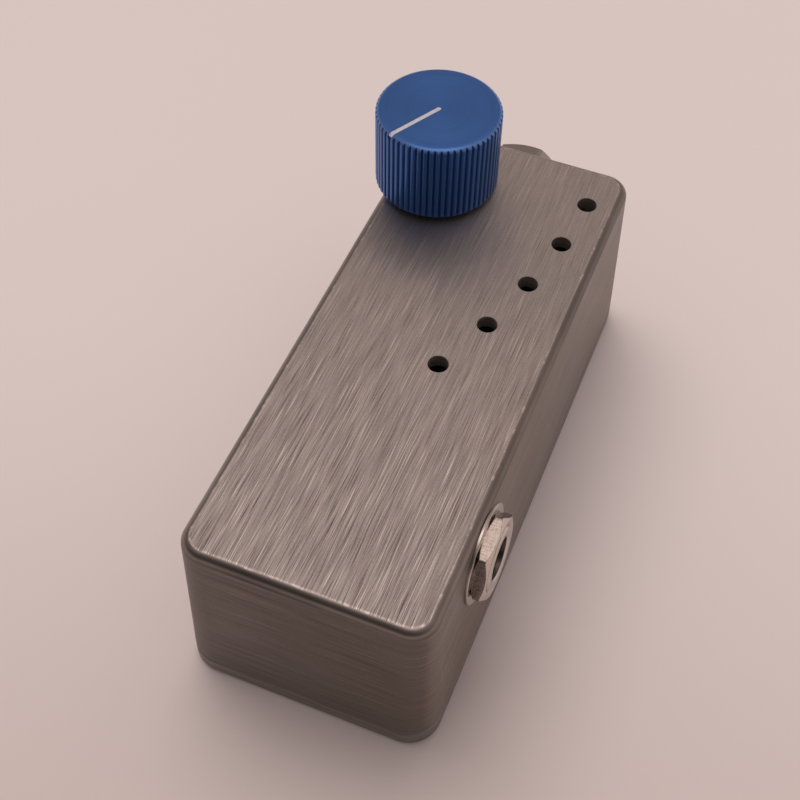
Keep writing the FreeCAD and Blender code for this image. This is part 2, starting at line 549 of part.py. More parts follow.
node("electrolytic_capacitors", can_cap(-9.5, 7.4, 4.0, 11.5, 1.75), can_cap(-0.7, 7.4, 4.0, 11.5, 1.75), can_cap(-10.9, -20.2, 3.15, 7.0))


def to92(x, y):
    z0, h = ZB + 2.2, 4.7
    body = cyl(2.35, z0, z0 + h, x, y).common(box(x - 1.4, x + 3, y - 3, y + 3, z0, z0 + h))
    return fuse([body] + leads_down([(x, y + d, z0 + 0.4) for d in (-1.5, 0, 1.5)], 0.25))


node("transistors", to92(-11.6, 28.4), to92(-5.4, -18.0))


def regulator(x, y):
    """Flat-mounted power package: tab, plastic body and three bent legs."""
    tab = box(x - 5.0, x + 5.0, y - 2.0, y + 7.6, ZB, ZB + 1.25).cut(cyl(1.8, ZB - 1, ZB + 2, x, y + 4.9))
    body = box(x - 5.05, x + 5.05, y - 7.0, y + 1.9, ZB + 0.02, ZB + 4.4)
    body = body.makeChamfer(0.4, [e for e in body.Edges if e.BoundBox.ZMin > ZB + 4.3])
    legs = []
    for d in (-2.54, 0, 2.54):
        legs.append(box(x + d - 0.4, x + d + 0.4, y - 8.7, y - 6.9, ZB + 2.2, ZB + 2.7))
        legs.append(box(x + d - 0.4, x + d + 0.4, y - 9.1, y - 8.6, ZB + 0.8, ZB + 2.7))
        legs += leads_down([(x + d, y - 8.85, ZB + 1.0)], 0.28)
    return fuse([tab, body] + legs)


node("heater_regulator", regulator(-1.7, 28.6))

# ---------------------------------------------------------------- tube
def along_y(shape, x, y, z):
    """Turns a shape made round +Z so that its axis runs along +Y from (x, y, z)."""
    s = shape.copy()
    s.rotate(vec(0, 0, 0), vec(1, 0, 0), -90)
    s.translate(vec(x, y, z))
    return s


TL = TUBE_Y1 - TUBE_Y0
outer = [(0, 0), (2.6, 0), (4.2, 1.6), (TUBE_R, 4.0), (TUBE_R, TL - 5.0), (TUBE_R - 0.5, TL - 3.0), (TUBE_R - 1.9, TL - 1.2), (1.6, TL - 0.5), (0.7, TL), (0, TL)]
hollow = [(0, 2.2), (2.4, 2.2), (3.5, 3.2), (TUBE_R - 0.7, 4.8), (TUBE_R - 0.7, TL - 5.2), (TUBE_R - 1.2, TL - 3.5), (TUBE_R - 2.5, TL - 2.1), (0, TL - 1.5)]
LEAD_SPOTS = [(-2.1, 0), (-1.4, 0), (-0.7, 0), (0, 0), (0.7, 0), (1.4, 0), (2.1, 0)]
glass = revolve(outer).cut(revolve(hollow)).cut([cyl(0.21, -1, 3, x, y) for x, y in LEAD_SPOTS])
node("tube_glass", along_y(glass, TUBE_X, TUBE_Y0, TUBE_Z))
anode = plate(2.9, 1.9, 1.2, 8.0, 26.0).cut(plate(2.65, 1.65, 0.95, 7.0, 27.0))
fins = [box(-3.9, -2.75, -0.13, 0.13, 8.0, 26.0), box(2.75, 3.9, -0.13, 0.13, 8.0, 26.0)]
node("tube_anode", along_y(fuse([anode] + fins), TUBE_X, TUBE_Y0, TUBE_Z))
grid_parts = [cyl(0.25, 6.2, 27.6, -1.5, 0), cyl(0.25, 6.2, 27.6, 1.5, 0)]
for k in range(16):
    z = 8.6 + k * 1.1
    loop = plate(1.5, 0.95, 0.9, z, z + 0.16).cut(plate(1.36, 0.81, 0.76, z - 1, z + 1))
    grid_parts.append(loop)
node("tube_grid", along_y(fuse(grid_parts), TUBE_X, TUBE_Y0, TUBE_Z))
node("tube_cathode", along_y(cyl(0.55, 6.3, 27.6), TUBE_X, TUBE_Y0, TUBE_Z))
mica_holes = [cyl(0.27, 0, 40, -1.5, 0), cyl(0.27, 0, 40, 1.5, 0), cyl(0.57, 0, 40, 0, 0)]
mica = [cyl(4.15, 7.6, 7.95).cut(mica_holes), cyl(4.15, 26.05, 26.4).cut(mica_holes)]
node("tube_micas", *[along_y(m, TUBE_X, TUBE_Y0, TUBE_Z) for m in mica])
getter = Part.makeTorus(1.5, 0.25, vec(0, 0, 29.0)).fuse(cyl(0.15, 27.7, 29.0, 1.5, 0)).removeSplitter()
node("tube_getter", along_y(getter, TUBE_X, TUBE_Y0, TUBE_Z))
tube_leads = []
for k, (x, y) in enumerate(LEAD_SPOTS):
    row = 0.9 if k % 2 else -0.3
    py = TUBE_Y0 - 1.95 - row
    pads.append((TUBE_X + x * 1.7, py, 0.2))
    tube_leads.append(pipe([(TUBE_X + x, TUBE_Y0 + 2.2, TUBE_Z), (TUBE_X + x, py + 0.05, TUBE_Z), (TUBE_X + x * 1.7, py, TUBE_Z - 3.2),
                            (TUBE_X + x * 1.7, py, BOARD_Z0 - 0.9)], 0.19))
node("tube_leads", *tube_leads)
saddles = []
for y in (9.6, 27.4):
    s = tube(TUBE_R + 0.95, TUBE_R + 0.03, 0, 3.0)
    s = s.cut(box(-3.4, 3.4, -8, 0, -1, 5))
    s = along_y(s, TUBE_X, y, TUBE_Z)
    foot = box(TUBE_X - 4.2, TUBE_X + 4.2, y, y + 3.0, ZB, TUBE_Z - 3.6).cut(rod(TUBE_R + 0.03, (TUBE_X, y - 1, TUBE_Z), (TUBE_X, y + 4, TUBE_Z)))
    saddles.append(fuse([s, foot]))
node("tube_clips", *saddles)

# ---------------------------------------------------------------- internal wires
WIRE_R = 0.55


def lug(place, x, y, z):
    p = place.multVec(vec(x, y, z))
    return (p.x, p.y, p.z)


def wire(points):
    pads.append((points[-1][0], points[-1][1], 0.3))
    end = points[-1]
    return fuse([pipe(points, WIRE_R), cyl(0.3, BOARD_Z0 - 0.9, end[2] + 0.4, end[0], end[1])])


a = lug(IN_PLACE, 3.0, -10.3, -16.5)
node("input_wire", wire([a, (a[0] - 0.6, a[1], a[2] - 1.4), (a[0] - 3.6, a[1] - 1.4, a[2] - 1.5), (-2.6, -24.8, ZB + 2.0), (-2.6, -24.8, ZB)]))
b = lug(OUT_PLACE, 3.0, -10.3, -16.75)
node("output_wire", wire([b, (b[0] + 0.3, b[1], b[2] - 2.6), (b[0] + 0.7, b[1] + 0.9, 18.5), (-2.0, -2.9, ZB + 2.4), (-2.0, -2.9, ZB)]))
c = lug(IN_PLACE, -3.0, -10.4, -15.56)
d = lug(OUT_PLACE, -3.0, -10.4, -15.56)
node("ground_wires",
     wire([c, (c[0] - 0.6, c[1], c[2] - 1.0), (c[0] - 1.6, c[1] - 2.0, c[2] - 1.4), (0.6, -32.4, ZB + 1.9), (0.6, -32.4, ZB)]),
     wire([d, (d[0] + 0.5, d[1] - 0.4, d[2] - 2.4), (d[0] + 0.9, d[1] - 1.2, 18.5), (-2.8, -12.4, ZB + 2.4), (-2.8, -12.4, ZB)]))
e = lug(DC_PLACE, 0, 0, -15.06)
f = lug(DC_PLACE, 0, -4.45, -13.6)
node("power_wires",
     wire([e, (e[0], e[1] - 3.0, e[2]), (0.8, 21.5, 18.0), (2.4, 18.3, 14.0), (2.4, 18.3, ZB)]),
     wire([f, (f[0], f[1] - 1.0, f[2] - 1.6), (-3.6, 22.8, 15.6), (-5.2, 18.2, 13.5), (-5.2, 18.2, ZB)]))
pw = []
for dx, px in ((-2.5, -14.0 + 0.6), (0, -11.2), (2.5, -9.0)):
    x = KNOB_X + dx
    pw.append(wire([(x, KNOB_Y - 6.9, 19.8), (x, KNOB_Y - 6.9, 17.7), (px, KNOB_Y - 7.7, 15.2), (px, KNOB_Y - 7.7, ZB)]))
node("pot_wires", *pw)

# ---------------------------------------------------------------- board, its fixings and solder
MOUNT_X, MOUNT_Y = 11.9, 33.6
board = plate(BOARD_X, (BOARD_Y1 - BOARD_Y0) / 2, 1.0, BOARD_Z0, BOARD_Z0 + BOARD_T)
board.translate(vec(0, (BOARD_Y0 + BOARD_Y1) / 2, 0))
board = board.cut([cyl(1.35, 0, 20, sx * MOUNT_X, sy * MOUNT_Y) for sx in (-1, 1) for sy in (-1, 1)]
                  + [cyl(r + 0.12, 0, 20, x, y) for x, y, r in pads])
node("circuit_board", board)
node("board_standoffs", *[hexagon(4.6, LID_FLOOR, BOARD_Z0, 30, sx * MOUNT_X, sy * MOUNT_Y).cut(cyl(1.25, LID_FLOOR + 0.6, 12, sx * MOUNT_X, sy * MOUNT_Y))
                          for sx in (-1, 1) for sy in (-1, 1)])


def board_screw(x, y):
    s = revolve([(0, 2.8), (1.22, 2.8), (1.22, ZB), (2.2, ZB), (2.2, ZB + 0.8), (1.6, ZB + 1.5), (0, ZB + 1.6)], x, y)
    return s.cut([box(x - 1.3, x + 1.3, y - 0.25, y + 0.25, ZB + 0.8, ZB + 3), box(x - 0.25, x + 0.25, y - 1.3, y + 1.3, ZB + 0.8, ZB + 3)])


node("board_screws", *[board_screw(sx * MOUNT_X, sy * MOUNT_Y) for sx in (-1, 1) for sy in (-1, 1)])
node("solder_joints", *[Part.makeCone(r + 0.2, r + 0.42, 0.6, vec(x, y, BOARD_Z0 - 0.6)).cut(cyl(r, 0, 20, x, y)) for x, y, r in pads])

for name, shape in sorted(nodes.items()):
    shape.exportStep("parts/" + name + ".step")
print(len(nodes), "nodes,", sum(len(s.Solids) for s in nodes.values()), "solids")
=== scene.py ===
import math

import bmesh
import bpy
import numpy as np
from mathutils import Matrix, Vector


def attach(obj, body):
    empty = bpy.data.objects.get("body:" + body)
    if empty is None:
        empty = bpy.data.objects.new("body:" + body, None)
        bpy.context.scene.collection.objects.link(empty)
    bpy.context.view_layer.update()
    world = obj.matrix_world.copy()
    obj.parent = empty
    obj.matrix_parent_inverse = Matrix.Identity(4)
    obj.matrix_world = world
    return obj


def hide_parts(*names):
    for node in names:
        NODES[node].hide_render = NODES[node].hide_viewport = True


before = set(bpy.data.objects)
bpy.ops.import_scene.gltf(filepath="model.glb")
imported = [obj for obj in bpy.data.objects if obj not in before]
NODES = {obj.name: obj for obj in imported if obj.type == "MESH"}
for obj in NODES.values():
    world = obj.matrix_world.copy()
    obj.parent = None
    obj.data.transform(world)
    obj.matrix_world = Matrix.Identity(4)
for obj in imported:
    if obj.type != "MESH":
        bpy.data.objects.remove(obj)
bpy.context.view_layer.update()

SCENE = bpy.context.scene
MM = 0.001
TAU = 2 * math.pi

# ---------------------------------------------------------------- sizes that the pieces share with the CAD, millimetres
KNOB_X, KNOB_Y = -11.2, 32.7
KNOB_R = 9.85
KNOB_Z0, KNOB_Z1 = 31.8, 45.75
FLUTES, FLUTE_DEPTH, KNOB_ROUND = 62, 0.36, 0.8
RIM_DROP = 0.66              # the rim's rounding is this deep and KNOB_ROUND wide
POINTER = math.radians(241.0)
DRAFT = math.radians(2.15)
IN_Y, IN_Z = -25.4, 22.6
OUT_Y, OUT_Z = -7.4, 16.8
DC_X, DC_Z = -0.5, 22.8


def rim_drop(u):
    """How far the knob's face has dropped u outwards from where its rim starts."""
    a = max(0.0, min(1.0, u / KNOB_ROUND))
    return RIM_DROP * (1 - max(0.0, 1 - a ** 1.45) ** (1 / 1.45))


def half_w(z):
    return 19.25 - (z - 3.2) * math.tan(DRAFT)


def half_l(z):
    return 46.3 - (z - 3.2) * math.tan(DRAFT)


def wall_frame(p, w, u):
    """4x4 of a socket: x along the wall, y up it, z out of it. Millimetres in, metres out."""
    w, u = Vector(w).normalized(), Vector(u).normalized()
    v = w.cross(u)
    m = Matrix((u, v, w)).transposed().to_4x4()
    m.translation = Vector(p) * MM
    return m @ Matrix.Scale(MM, 4)


C, S = math.cos(DRAFT), math.sin(DRAFT)
IN_FRAME = wall_frame((half_w(IN_Z), IN_Y, IN_Z), (C, 0, S), (0, 1, 0))
OUT_FRAME = wall_frame((-half_w(OUT_Z), OUT_Y, OUT_Z), (-C, 0, S), (0, 1, 0))
DC_FRAME = wall_frame((DC_X, half_l(DC_Z), DC_Z), (0, C, S), (-1, 0, 0))


# ---------------------------------------------------------------- materials
class Mat:
    """A node material; constants go straight on the shader's own sockets."""

    def __init__(self, name, **constants):
        self.m = bpy.data.materials.new(name)
        self.m.use_nodes = True
        self.t = self.m.node_tree
        self.t.nodes.clear()
        self.out = self.node("ShaderNodeOutputMaterial")
        self.b = self.node("ShaderNodeBsdfPrincipled")
        self.link(self.b.outputs[0], self.out.inputs[0])
        for key, value in constants.items():
            self.b.inputs[key.replace("_", " ")].default_value = value
        self._co = None

    def node(self, kind, **props):
        n = self.t.nodes.new(kind)
        for key, value in props.items():
            setattr(n, key, value)
        return n

    def link(self, a, b):
        self.t.links.new(a, b)

    def put(self, value, socket):
        if isinstance(value, bpy.types.NodeSocket):
            self.link(value, socket)
        else:
            socket.default_value = value

    def co(self):
        if self._co is None:
            self._co = self.node("ShaderNodeTexCoord").outputs["Object"]
        return self._co

    def normal(self):
        return self.node("ShaderNodeNewGeometry").outputs["Normal"]

    def split(self, v):
        n = self.node("ShaderNodeSeparateXYZ")
        self.link(v, n.inputs[0])
        return n.outputs[0], n.outputs[1], n.outputs[2]

    def join(self, x, y, z):
        n = self.node("ShaderNodeCombineXYZ")
        for value, socket in zip((x, y, z), n.inputs):
            self.put(value, socket)
        return n.outputs[0]

    def math(self, op, a, b=0.0, c=0.0, clamp=False):
        n = self.node("ShaderNodeMath", operation=op, use_clamp=clamp)
        for value, socket in zip((a, b, c), n.inputs):
            self.put(value, socket)
        return n.outputs[0]

    def vmath(self, op, a, b=(0, 0, 0)):
        n = self.node("ShaderNodeVectorMath", operation=op)
        self.put(a, n.inputs[0])
        self.put(b, n.inputs[1])
        return n.outputs["Value"] if op in ("LENGTH", "DOT_PRODUCT", "DISTANCE") else n.outputs["Vector"]

    def scale(self, v, k):
        return self.vmath("MULTIPLY", v, k)

    def noise(self, v, scale=1.0, detail=2.0, rough=0.5, distortion=0.0):
        n = self.node("ShaderNodeTexNoise")
        self.link(v, n.inputs["Vector"])
        n.inputs["Scale"].default_value = scale
        n.inputs["Detail"].default_value = detail
        n.inputs["Roughness"].default_value = rough
        n.inputs["Distortion"].default_value = distortion
        return n.outputs[0]

    def voronoi(self, v, scale=1.0, feature="F1", out="Distance"):
        n = self.node("ShaderNodeTexVoronoi", feature=feature)
        self.link(v, n.inputs["Vector"])
        n.inputs["Scale"].default_value = scale
        return n.outputs[out]

    def range(self, v, a, b, c=0.0, d=1.0, smooth=True):
        n = self.node("ShaderNodeMapRange", interpolation_type="SMOOTHSTEP" if smooth else "LINEAR")
        self.put(v, n.inputs[0])
        for value, socket in zip((a, b, c, d), list(n.inputs)[1:5]):
            socket.default_value = value
        return n.outputs[0]

    def mix(self, fac, a, b):
        n = self.node("ShaderNodeMix", data_type="FLOAT")
        self.put(fac, n.inputs[0])
        self.put(a, n.inputs[2])
        self.put(b, n.inputs[3])
        return n.outputs[0]

    def vmix(self, fac, a, b):
        n = self.node("ShaderNodeMix", data_type="VECTOR")
        self.put(fac, n.inputs[0])
        self.put(a, n.inputs[4])
        self.put(b, n.inputs[5])
        return n.outputs[1]

    def colour(self, fac, a, b, blend="MIX"):
        n = self.node("ShaderNodeMix", data_type="RGBA", blend_type=blend)
        self.put(fac, n.inputs[0])
        for value, socket in ((a, n.inputs[6]), (b, n.inputs[7])):
            self.put(value if isinstance(value, bpy.types.NodeSocket) else (*value[:3], 1.0), socket)
        return n.outputs[2]

    def times(self, colour, k):
        """Colour times a number from a socket."""
        n = self.node("ShaderNodeVectorMath", operation="SCALE")
        self.put(colour if isinstance(colour, bpy.types.NodeSocket) else tuple(colour[:3]), n.inputs[0])
        self.put(k, n.inputs["Scale"])
        return n.outputs["Vector"]

    def bump(self, height, strength=0.3, distance=0.00005, normal=None):
        n = self.node("ShaderNodeBump")
        n.inputs["Strength"].default_value = strength
        n.inputs["Distance"].default_value = distance
        self.link(height, n.inputs["Height"])
        if normal is not None:
            self.link(normal, n.inputs["Normal"])
        return n.outputs[0]

    def finish(self, base=None, rough=None, normal=None, metallic=None, tangent=None):
        for value, name in ((base, "Base Color"), (rough, "Roughness"), (normal, "Normal"), (metallic, "Metallic"), (tangent, "Tangent")):
            if value is not None:
                self.put(value, self.b.inputs[name])
        return self.m


ALU = (0.490, 0.438, 0.416)


def case_aluminium():
    M = Mat("case_brushed_aluminium", Metallic=0.92, Specular_IOR_Level=0.3, Anisotropic=0.74)
    co = M.co()
    x, y, z = M.split(co)
    nx, ny, nz = M.split(M.normal())
    top = M.range(nz, 0.72, 0.93)
    level = M.range(nz, 0.966, 0.990)
    upright = M.range(nz, 0.06, 0.16, 1.0, 0.0)
    flat = M.math("MAXIMUM", level, upright)
    # each face is brushed by hand in long strokes: the lines wander a little and cross at small angles
    sway = M.noise(M.scale(co, (55, 22, 55)), 1.0, 2, 0.5)
    dx = M.math("MULTIPLY", M.math("SUBTRACT", sway, 0.5), 0.0012)
    xa = M.math("ADD", x, M.math("ADD", dx, M.math("MULTIPLY", y, 0.012)))
    xb = M.math("ADD", x, M.math("SUBTRACT", dx, M.math("MULTIPLY", y, 0.026)))
    fine = M.noise(M.join(M.math("MULTIPLY", xa, 8600), M.math("MULTIPLY", y, 105), 3.1), 1.0, 2, 0.65)
    cross = M.noise(M.join(M.math("MULTIPLY", xb, 7800), M.math("MULTIPLY", y, 140), 5.9), 1.0, 1, 0.5)
    long_ = M.noise(M.join(M.math("MULTIPLY", xb, 3300), M.math("MULTIPLY", y, 62), 7.7), 1.0, 2, 0.55)
    spark = M.noise(M.join(M.math("MULTIPLY", xa, 7600), M.math("MULTIPLY", y, 130), 13.3), 1.0, 1, 0.5)
    zs = M.math("ADD", z, M.math("MULTIPLY", M.math("SUBTRACT", sway, 0.5), 0.0005))
    side_fine = M.noise(M.join(M.math("MULTIPLY", x, 66), M.math("MULTIPLY", y, 66), M.math("MULTIPLY", zs, 8200)), 1.0, 2, 0.65)
    side_long = M.noise(M.join(M.math("MULTIPLY", x, 28), M.math("MULTIPLY", y, 28), M.math("MULTIPLY", zs, 2600)), 1.0, 2, 0.55)
    side_spark = M.noise(M.join(M.math("MULTIPLY", x, 95), M.math("MULTIPLY", y, 95), M.math("MULTIPLY", zs, 6200)), 1.0, 1, 0.5)
    f = M.mix(top, side_fine, M.math("ADD", M.math("MULTIPLY", fine, 0.6), M.math("MULTIPLY", cross, 0.4)))
    l = M.mix(top, side_long, long_)
    s = M.mix(top, side_spark, spark)
    lines = M.math("ADD", M.math("MULTIPLY", f, 0.84), M.math("MULTIPLY", l, 0.16))
    grain = M.noise(M.scale(co, (5200, 3200, 5200)), 1.0, 2, 0.6)
    bright = M.range(s, 0.58, 0.72)
    dark = M.range(s, 0.28, 0.42, 1.0, 0.0)
    blotch = M.noise(M.scale(co, (75, 50, 75)), 1.0, 3, 0.55)
    smudge = M.noise(M.scale(co, (30, 21, 36)), 1.0, 2, 0.5)
    # painted highlight: the brush lines on the top get more contrast and brighter glints towards the front, fading
    # towards the back
    front_glint = M.range(y, -0.046, 0.034, 1.0, 0.34)
    tone = M.math("ADD", 1.0, M.math("MULTIPLY", M.math("SUBTRACT", lines, 0.5), M.mix(top, M.range(ny, -0.80, -0.40, 1.9, 1.2), M.math("MULTIPLY", front_glint, 3.5))))
    tone = M.math("ADD", tone, M.math("MULTIPLY", M.math("SUBTRACT", blotch, 0.5), 0.22))
    tone = M.math("ADD", tone, M.math("MULTIPLY", M.math("SUBTRACT", grain, 0.5), 0.46))
    tone = M.math("ADD", tone, M.math("MULTIPLY", bright, M.mix(top, 0.16, M.math("MULTIPLY", front_glint, 0.75))))
    tone = M.math("SUBTRACT", tone, M.math("MULTIPLY", dark, M.mix(top, 0.10, M.math("MULTIPLY", front_glint, 0.42))))
    # painted shade: the walls are darker than the top, the front wall darkest, then the right wall, by which way each
    # faces
    wall_shade = M.math("ADD", M.range(ny, -0.80, -0.40, 0.38, 0.53), M.range(M.math("MAXIMUM", M.math("MULTIPLY", nx, -1.0), ny), 0.55, 0.85, 0.0, 0.21))
    tone = M.math("MULTIPLY", tone, M.mix(upright, 1.0, wall_shade))
    # painted shade on the rounded edges: darker the further they tilt from the top, with blotchy noise
    edge = M.math("ADD", M.range(nz, 0.15, 0.65, 0.26, 0.50), M.math("MULTIPLY", M.math("SUBTRACT", blotch, 0.5), 0.45))
    tone = M.mix(flat, edge, tone)
    # the turn from the flat into the rounding is brighter in patches: partly rubbed metal and partly a painted
    # highlight along the turn
    rub = M.math("MULTIPLY", M.range(nz, 0.940, 0.975), M.range(nz, 0.9915, 0.9985, 1.0, 0.0))
    chips = M.noise(M.scale(co, (800, 800, 800)), 1.0, 2, 0.6)
    tone = M.math("ADD", tone, M.math("MULTIPLY", rub, M.range(chips, 0.50, 0.72, 0.04, 0.55)))
    # the drilled walls of the holes show fine turned rings, and are painted dark as painted shade inside the holes
    hole_wall_shade = M.math("MULTIPLY", M.math("MULTIPLY", M.math("LESS_THAN", M.math("ABSOLUTE", x), 0.0166), M.math("LESS_THAN", M.math("ABSOLUTE", y), 0.0437)),
                     M.math("MULTIPLY", M.math("GREATER_THAN", z, 0.0280), M.math("LESS_THAN", M.math("ABSOLUTE", nz), 0.6)))
    # the inside is left as cast
    inside = M.math("MULTIPLY", M.math("MULTIPLY", M.math("LESS_THAN", M.math("ABSOLUTE", x), 0.0166), M.math("LESS_THAN", M.math("ABSOLUTE", y), 0.0437)),
                    M.math("SUBTRACT", M.math("LESS_THAN", z, 0.0296), hole_wall_shade, clamp=True))
    cast = M.noise(M.scale(co, (900, 900, 900)), 1.0, 3, 0.6)
    turned = M.noise(M.join(M.math("MULTIPLY", x, 300), M.math("MULTIPLY", y, 300), M.math("MULTIPLY", z, 6000)), 1.0, 2, 0.5)
    # painted shade: the hole walls are darkened well below the rest of the case
    tone = M.mix(hole_wall_shade, tone, M.math("ADD", 0.42, M.math("MULTIPLY", turned, 0.9)))
    base = M.times(ALU, tone)
    stain = M.math("MULTIPLY", M.range(smudge, 0.44, 0.66), M.mix(upright, 0.25, 0.60))
    base = M.colour(stain, base, M.colour(1.0, base, (0.94, 0.90, 0.80), "MULTIPLY"))
    base = M.colour(M.mix(top, 0.8, 0.0), base, M.colour(1.0, base, (1.0, 0.975, 0.95), "MULTIPLY"))
    base = M.colour(inside, base, M.times((0.26, 0.255, 0.25), M.math("ADD", 0.75, M.math("MULTIPLY", cast, 0.5))))
    rough = M.math("ADD", 0.41, M.math("MULTIPLY", M.math("SUBTRACT", 0.5, lines), 0.30))
    rough = M.math("ADD", rough, M.math("MULTIPLY", M.math("SUBTRACT", smudge, 0.5), 0.10))
    rough = M.mix(inside, M.mix(flat, 0.30, rough), 0.62)
    height = M.mix(inside, M.math("MULTIPLY", M.math("ADD", lines, M.math("MULTIPLY", M.math("SUBTRACT", bright, dark), 0.25)), flat), cast)
    n = M.bump(height, 0.6, 0.00003)
    along = M.join(M.math("MULTIPLY", ny, -1.0), nx, 0.0)
    tangent = M.vmix(flat, along, M.vmix(top, (0.0, 0.0, 1.0), (1.0, 0.0, 0.0)))
    return M.finish(base, rough, n, tangent=tangent)


def lid_aluminium():
    """The lid: the same brushed aluminium at its edge, with a plainer sanded underside."""
    M = Mat("lid_brushed_aluminium", Metallic=0.92, Specular_IOR_Level=0.3, Anisotropic=0.74)
    co = M.co()
    x, y, z = M.split(co)
    nx, ny, nz = M.split(M.normal())
    under = M.range(nz, -0.93, -0.6, 1.0, 0.0)
    sway = M.noise(M.scale(co, (50, 20, 50)), 1.0, 2, 0.5)
    xa = M.math("ADD", x, M.math("MULTIPLY", M.math("SUBTRACT", sway, 0.5), 0.0012))
    zs = M.math("ADD", z, M.math("MULTIPLY", M.math("SUBTRACT", sway, 0.5), 0.0008))
    a = M.noise(M.join(M.math("MULTIPLY", xa, 3600), M.math("MULTIPLY", y, 80), 4.0), 1.0, 3, 0.6)
    b = M.noise(M.join(M.math("MULTIPLY", x, 95), M.math("MULTIPLY", y, 95), M.math("MULTIPLY", zs, 3800)), 1.0, 3, 0.6)
    lines = M.mix(under, b, a)
    spark = M.range(M.noise(M.join(M.math("MULTIPLY", xa, 2800), M.math("MULTIPLY", y, 130), 9.0), 1.0, 1, 0.5), 0.60, 0.74)
    # light rubbing where it has been slid about on tables
    rub = M.range(M.noise(M.join(M.math("MULTIPLY", M.math("ADD", x, M.math("MULTIPLY", y, 0.35)), 900), M.math("MULTIPLY", y, 60), 2.0), 1.0, 3, 0.6), 0.60, 0.72)
    blotch = M.noise(M.scale(co, (60, 40, 60)), 1.0, 3, 0.55)
    inside = M.math("MULTIPLY", M.math("GREATER_THAN", z, 0.0019), M.math("MULTIPLY", M.math("LESS_THAN", M.math("ABSOLUTE", x), 0.0172), M.math("LESS_THAN", M.math("ABSOLUTE", y), 0.0442)))
    cast = M.noise(M.scale(co, (900, 900, 900)), 1.0, 3, 0.6)
    tone = M.math("ADD", 1.0, M.math("MULTIPLY", M.math("SUBTRACT", lines, 0.5), 1.3))
    tone = M.math("ADD", tone, M.math("MULTIPLY", M.math("SUBTRACT", blotch, 0.5), 0.16))
    tone = M.math("ADD", tone, M.math("MULTIPLY", M.math("MULTIPLY", M.math("ADD", spark, rub), under), 0.25))
    # painted shade: the lid's walls are darker facing front and right than facing left and back
    walls = M.range(M.math("MAXIMUM", M.math("MULTIPLY", nx, -1.0), ny), 0.55, 0.85, 0.54, 0.73)
    tone = M.math("MULTIPLY", tone, M.mix(under, walls, 0.95))
    base = M.colour(inside, M.times((0.490, 0.436, 0.408), tone), M.times((0.26, 0.255, 0.25), M.math("ADD", 0.75, M.math("MULTIPLY", cast, 0.5))))
    rough = M.mix(inside, M.math("ADD", 0.41, M.math("MULTIPLY", M.math("SUBTRACT", 0.5, lines), 0.22)), 0.62)
    n = M.bump(M.mix(inside, lines, cast), 0.5, 0.00004)
    return M.finish(base, rough, n, tangent=M.vmix(under, (0.0, 0.0, 1.0), (1.0, 0.0, 0.0)))


def knob_blue():
    M = Mat("knob_blue_anodised", Metallic=0.86, Specular_IOR_Level=0.3, Anisotropic=0.42)
    co = M.co()
    x, y, z = M.split(co)
    dx, dy = M.math("SUBTRACT", x, KNOB_X * MM), M.math("SUBTRACT", y, KNOB_Y * MM)
    radial = M.join(dx, dy, 0.0)
    r = M.vmath("LENGTH", radial)
    nx, ny, nz = M.split(M.normal())
    top = M.range(nz, 0.80, 0.97)
    rings = M.noise(M.join(M.math("MULTIPLY", r, 5200), 0.37, 1.9), 1.0, 3, 0.6)
    wide = M.noise(M.join(M.math("MULTIPLY", r, 900), 5.1, 0.2), 1.0, 2, 0.5)
    drawn = M.noise(M.scale(co, (700, 700, 60)), 1.0, 2, 0.5)
    grain = M.noise(M.scale(co, (4000, 4000, 4000)), 1.0, 1, 0.5)
    cloud = M.noise(M.scale(co, (120, 120, 120)), 1.0, 2, 0.5)
    lines = M.mix(top, drawn, M.math("ADD", M.math("MULTIPLY", rings, 0.6), M.math("MULTIPLY", wide, 0.4)))
    tone = M.math("ADD", 0.86, M.math("MULTIPLY", M.math("SUBTRACT", lines, 0.5), 0.24))
    tone = M.math("ADD", tone, M.math("MULTIPLY", M.math("SUBTRACT", cloud, 0.5), 0.16))
    tone = M.math("ADD", tone, M.math("MULTIPLY", M.math("SUBTRACT", grain, 0.5), 0.10))
    # painted shade: the fluted side is darker than the face
    tone = M.math("MULTIPLY", tone, M.mix(top, 0.80, 1.0))
    # painted highlight: the turned rim's crest is painted a lighter blue
    rim = M.math("MULTIPLY", M.range(r, (KNOB_R - 0.62) * MM, (KNOB_R - 0.36) * MM), M.range(nz, 0.45, 0.62))
    base = M.colour(M.math("MULTIPLY", rim, 0.65), M.times((0.085, 0.225, 0.63), tone), (0.20, 0.37, 0.78))
    rough = M.math("ADD", 0.33, M.math("MULTIPLY", M.math("SUBTRACT", lines, 0.5), 0.14))
    rough = M.math("ADD", rough, M.math("MULTIPLY", M.math("SUBTRACT", grain, 0.5), 0.06))
    n = M.bump(M.math("ADD", lines, M.math("MULTIPLY", grain, 0.3)), 0.22, 0.00002)
    # turned marks run round the axis; the highlight spreads across them
    world = M.node("ShaderNodeVectorTransform", vector_type="VECTOR", convert_from="OBJECT", convert_to="WORLD")
    M.link(M.vmath("NORMALIZE", radial), world.inputs[0])
    tangent = M.vmix(top, (0.0, 0.0, 1.0), world.outputs[0])
    return M.finish(base, rough, n, tangent=tangent)


def paint_white():
    M = Mat("pointer_white_paint", Roughness=0.5, Specular_IOR_Level=0.4)
    co = M.co()
    a = M.noise(M.scale(co, (1500, 1500, 1500)), 1.0, 3, 0.6)
    b = M.noise(M.scale(co, (5200, 5200, 5200)), 1.0, 2, 0.5)
    base = M.times((0.59, 0.59, 0.66), M.math("ADD", 0.80, M.math("MULTIPLY", a, 0.38)))
    rough = M.range(b, 0.3, 0.7, 0.42, 0.62)
    return M.finish(base, rough, M.bump(b, 0.3, 0.00003))


